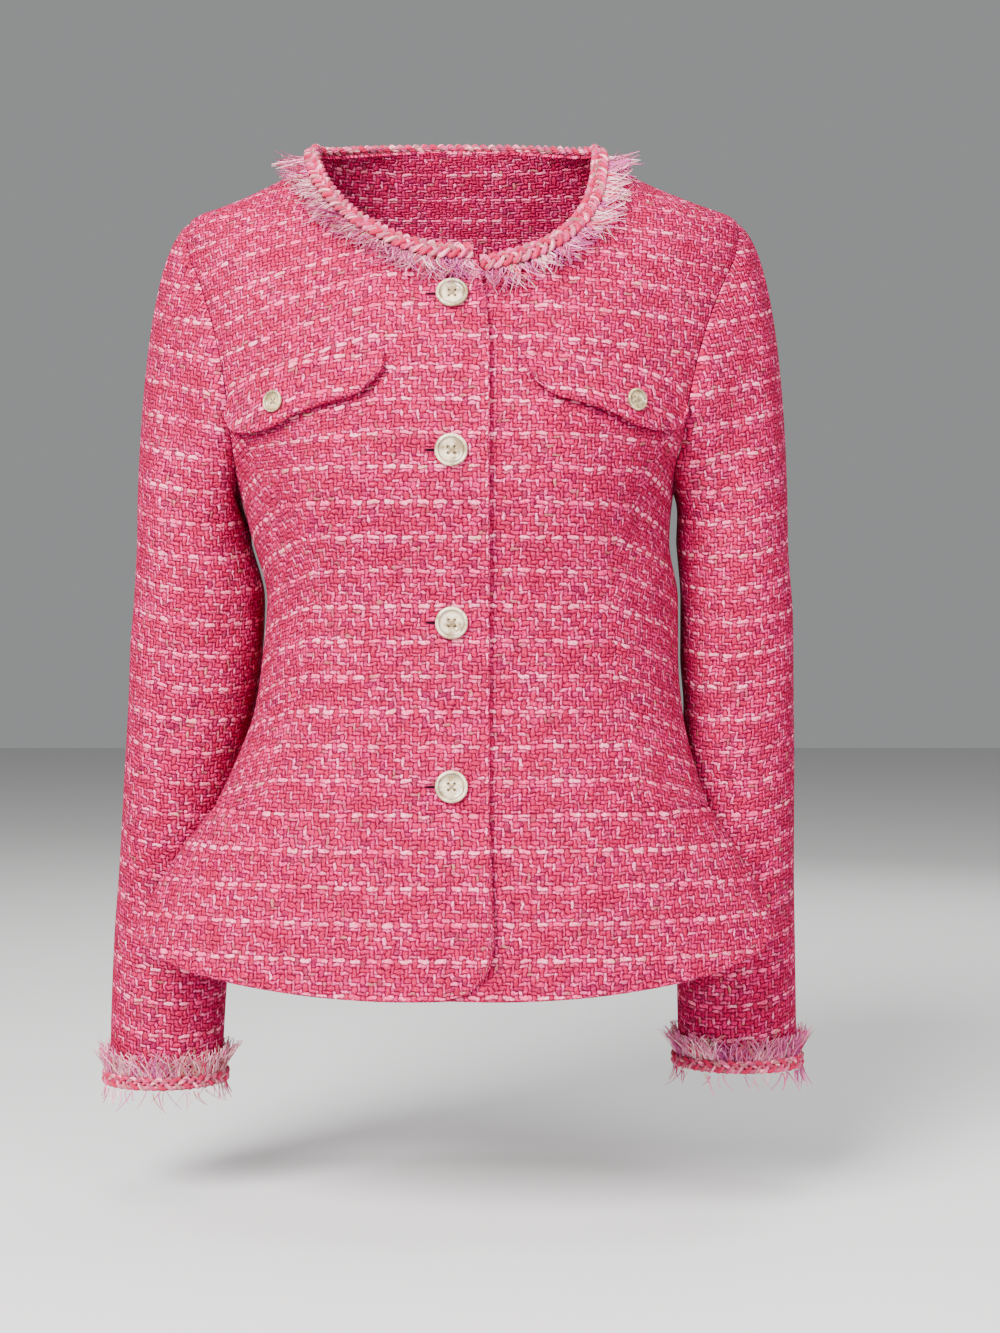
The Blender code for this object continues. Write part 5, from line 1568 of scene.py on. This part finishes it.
def plait(name, node, centres, wide, thick, half_width, half_thickness, places, closed, seed):
    """A three-strand plait of yarn bundles along a line or round a closed ring."""
    chance = np.random.default_rng(seed)
    points = []
    faces = []
    tints = []
    pitch = BRAID_LENGTH_OF_TURN
    if closed:
        pitch = places[-1] / max(round(places[-1] / pitch), 1)
    yarn_turns = 2 if closed else 1.6
    strand_radius = half_width * 0.36
    for strand, strand_tint in enumerate(STRAND_TINTS):
        phase = 2 * np.pi * places / pitch + 2 * np.pi * strand / 3
        aside = np.sin(phase) * (half_width - strand_radius)
        lift = np.sin(2 * phase) * half_thickness * 0.36
        middle = centres + wide * aside[:, None] + thick * lift[:, None]
        for yarn in range(YARNS_IN_STRAND):
            turn = 2 * np.pi * yarn / YARNS_IN_STRAND + phase * yarn_turns
            offset = strand_radius * 0.60
            own = middle + wide * (np.cos(turn) * offset)[:, None] + thick * (
                np.sin(turn) * offset * 0.85)[:, None]
            tangent = heading(own, closed)
            side_way = unit(np.cross(tangent, thick))
            out_way = unit(np.cross(side_way, tangent))
            size = strand_radius * 0.40 * (1 + 0.16 * np.sin(places * 0.9 + yarn * 2.1 + strand))
            base = len(points)
            points.extend(tube_points(own, side_way, out_way, size, size, YARN_SIDES))
            faces.extend([tuple(base + index for index in face)
                          for face in tube_faces(len(own), YARN_SIDES, closed)])
            levels = chance.uniform(-0.30, 0.30, TINT_STEPS)
            drift = np.interp(places, np.linspace(0, places[-1], TINT_STEPS), levels)
            value = np.clip(strand_tint + YARN_TINTS[yarn] + drift, 0, 1)
            tints.extend(np.repeat(value, YARN_SIDES))
    piece = make_piece(name, points, faces, tints=tints, material=braid_yarn, sharp=80)
    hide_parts(node)


def make_fringe(name, node, roots, out, lift, along, lengths, run, chance):
    """Loose yarns: each a thin curved tube that tapers to its end."""
    tints = tuft_tints(run, chance)
    count = len(roots)
    steps = FRINGE_STEPS
    lean = np.clip(chance.normal(0, 0.46, count), -0.85, 0.85)
    rise = chance.uniform(0.04, 0.42, count)
    curl = np.clip(chance.normal(0, 0.9, count), -1.2, 1.2)
    droop = chance.uniform(-0.30, 0.30, count)
    radius = chance.uniform(0.34, 0.66, count)
    points = np.zeros((count, steps, FRINGE_SIDES, 3))
    for number, part in enumerate(np.linspace(0, 1, steps)):
        aside = lengths * (lean * part + curl * part ** 2 * 0.6)
        height = np.maximum(lengths * (rise * part + droop * part ** 2), 0.2)
        centre = (roots + out * (lengths * part)[:, None] + along * aside[:, None]
                  + lift * height[:, None])
        size = radius * (1 - 0.4 * part ** 2)
        for corner in range(FRINGE_SIDES):
            angle = 2 * math.pi * corner / FRINGE_SIDES
            points[:, number, corner] = (centre + along * (math.cos(angle) * size)[:, None]
                                         + lift * (math.sin(angle) * size)[:, None])
    block = steps * FRINGE_SIDES
    starts = np.arange(count)[:, None, None] * block
    quads = np.array(tube_faces(steps, FRINGE_SIDES)[:-2])[None] + starts
    caps = np.array([[2, 1, 0], [block - 3, block - 2, block - 1]])[None] + starts
    faces = quads.reshape(-1, 4).tolist() + caps.reshape(-1, 3).tolist()
    piece = make_piece(name, points.reshape(-1, 3), faces, tints=np.repeat(tints, block),
                       material=fringe_yarn, sharp=120)
    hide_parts(node)


def tuft_tints(places, chance):
    """Colours along a fringe: they change from tuft to tuft and a little from yarn to yarn."""
    knots = np.arange(0, places.max() + 12, 9.0)
    levels = chance.choice(TUFT_TINTS, len(knots), p=TUFT_SHARES)
    value = np.interp(places, knots, levels) + chance.normal(0, 0.13, len(places))
    odd = chance.random(len(places))
    value = np.where(odd > 0.93, 0.95, value)
    value = np.where((odd > 0.86) & (odd <= 0.93), 0.80, value)
    return np.clip(value, 0, 1)


def build_neck_trim():
    """Plaited braid round the neckline and the fringe outside it."""
    points, normals, inward, places = neck_path(int(NECK_PATH_LENGTH / PLAIT_STEP))
    centres = points - inward * BRAID_ON_CLOTH + normals * (BRAID_GAP + BRAID_HALF_THICKNESS * 0.8)
    plait("neck_braid_plait", "neck_braid", centres, inward, normals, BRAID_HALF_WIDTH,
          BRAID_HALF_THICKNESS, places, False, 5)
    chance = np.random.default_rng(11)
    spot = np.sort(chance.uniform(0, 1, NECK_YARNS)) * (len(points) - 1)
    row = spot.astype(int)
    beyond = points[np.minimum(row + 1, len(points) - 1)]
    roots = points[row] + (beyond - points[row]) * (spot - row)[:, None]
    out = -inward[row]
    lift = normals[row]
    start = BRAID_ON_CLOTH + BRAID_HALF_WIDTH * chance.uniform(0.45, 1.05, NECK_YARNS)
    raised = chance.uniform(0.4, 2.0, NECK_YARNS)
    roots = roots + out * start[:, None] + lift * raised[:, None]
    run = places[row]
    wave = 1 + 0.16 * np.sin(run / 13.0) + 0.12 * np.sin(run / 5.1)
    lengths = chance.uniform(*NECK_YARN_LENGTHS, NECK_YARNS) * wave
    make_fringe("neck_fringe_yarns", "neck_fringe", roots, out, lift,
                unit(np.cross(out, lift)), lengths, run, chance)


def build_cuff_trim(side, hand):
    """Plaited braid round a cuff and the fringe above it."""
    half = CUFF_BRAID_HALF_WIDTH
    count = CUFF_STEPS
    points, normals, upward = cuff_path(side, half, count)
    centres = points + normals * (BRAID_GAP + CUFF_BRAID_HALF_THICKNESS * 0.75)
    total = np.linalg.norm(np.roll(points, -1, 0) - points, axis=1).sum()
    turns = round(total / BRAID_LENGTH_OF_TURN)
    places = np.arange(count) / count * turns * BRAID_LENGTH_OF_TURN
    plait(f"cuff_braid_{hand}_plait", f"cuff_braid_{hand}", centres, upward, normals, half,
          CUFF_BRAID_HALF_THICKNESS, places, True, 6 + side)
    chance = np.random.default_rng(21 + side)
    ring, lift, out = cuff_path(side, 2 * half, count)
    spot = chance.integers(0, count, CUFF_YARNS)
    out = out[spot]
    lift = lift[spot]
    along = unit(np.cross(out, lift))
    aside = chance.uniform(-1.2, 1.2, CUFF_YARNS)[:, None]
    back = chance.uniform(0, 3.0, CUFF_YARNS)[:, None]
    raised = chance.uniform(0.5, 2.4, CUFF_YARNS)[:, None]
    roots = ring[spot] + along * aside - out * back + lift * raised
    hanging = chance.random(CUFF_YARNS) > 0.93
    roots = np.where(hanging[:, None], roots - out * 2 * half * 0.9 + lift * 2.0, roots)
    out = np.where(hanging[:, None], -out, out)
    lengths = chance.uniform(*CUFF_YARN_LENGTHS, CUFF_YARNS) * np.where(hanging, 0.7, 1.0)
    make_fringe(f"cuff_fringe_{hand}_yarns", f"cuff_fringe_{hand}", roots, out, lift, along,
                lengths, spot / count * total, chance)


build_neck_trim()
build_cuff_trim(-1, "right")
build_cuff_trim(1, "left")


def build_studio():
    """Pale floor, soft lights and the photograph's camera."""
    scene = bpy.context.scene
    scene.world = bpy.data.worlds.new("studio")
    scene.world.use_nodes = True
    background = scene.world.node_tree.nodes["Background"]
    background.inputs[0].default_value = WORLD_COLOUR
    background.inputs[1].default_value = WORLD_STRENGTH
    floor_mesh = bpy.data.meshes.new("floor")
    corners = [(x * FLOOR_REACH, y * FLOOR_REACH, FLOOR_Z)
               for x, y in ((-1, -1), (1, -1), (1, 1), (-1, 1))]
    floor_mesh.from_pydata(corners, [], [(0, 1, 2, 3)])
    floor = bpy.data.objects.new("floor", floor_mesh)
    scene.collection.objects.link(floor)
    floor_mesh.materials.append(Graph("floor").surface(Base_Color=FLOOR_COLOUR, Roughness=0.9))
    for name, place, size, power, tone in LIGHTS:
        light = bpy.data.lights.new(name, "AREA")
        light.shape = "DISK"
        light.size = size
        light.energy = power
        light.color = tone
        lamp = bpy.data.objects.new(name, light)
        scene.collection.objects.link(lamp)
        aim = np.array(LIGHTS_AIM) - np.array(place)
        level = math.hypot(aim[0], aim[1])
        lamp.location = place
        lamp.rotation_euler = (math.pi / 2 + math.atan2(aim[2], level), 0.0,
                               math.atan2(-aim[0], aim[1]))
    camera = bpy.data.cameras.new("camera")
    camera.lens = LENS_MM
    camera.sensor_width = 36.0
    viewer = bpy.data.objects.new("camera", camera)
    scene.collection.objects.link(viewer)
    viewer.location = CAMERA_PLACE
    viewer.rotation_euler = (math.pi / 2, 0.0, 0.0)
    scene.camera = viewer


build_studio()
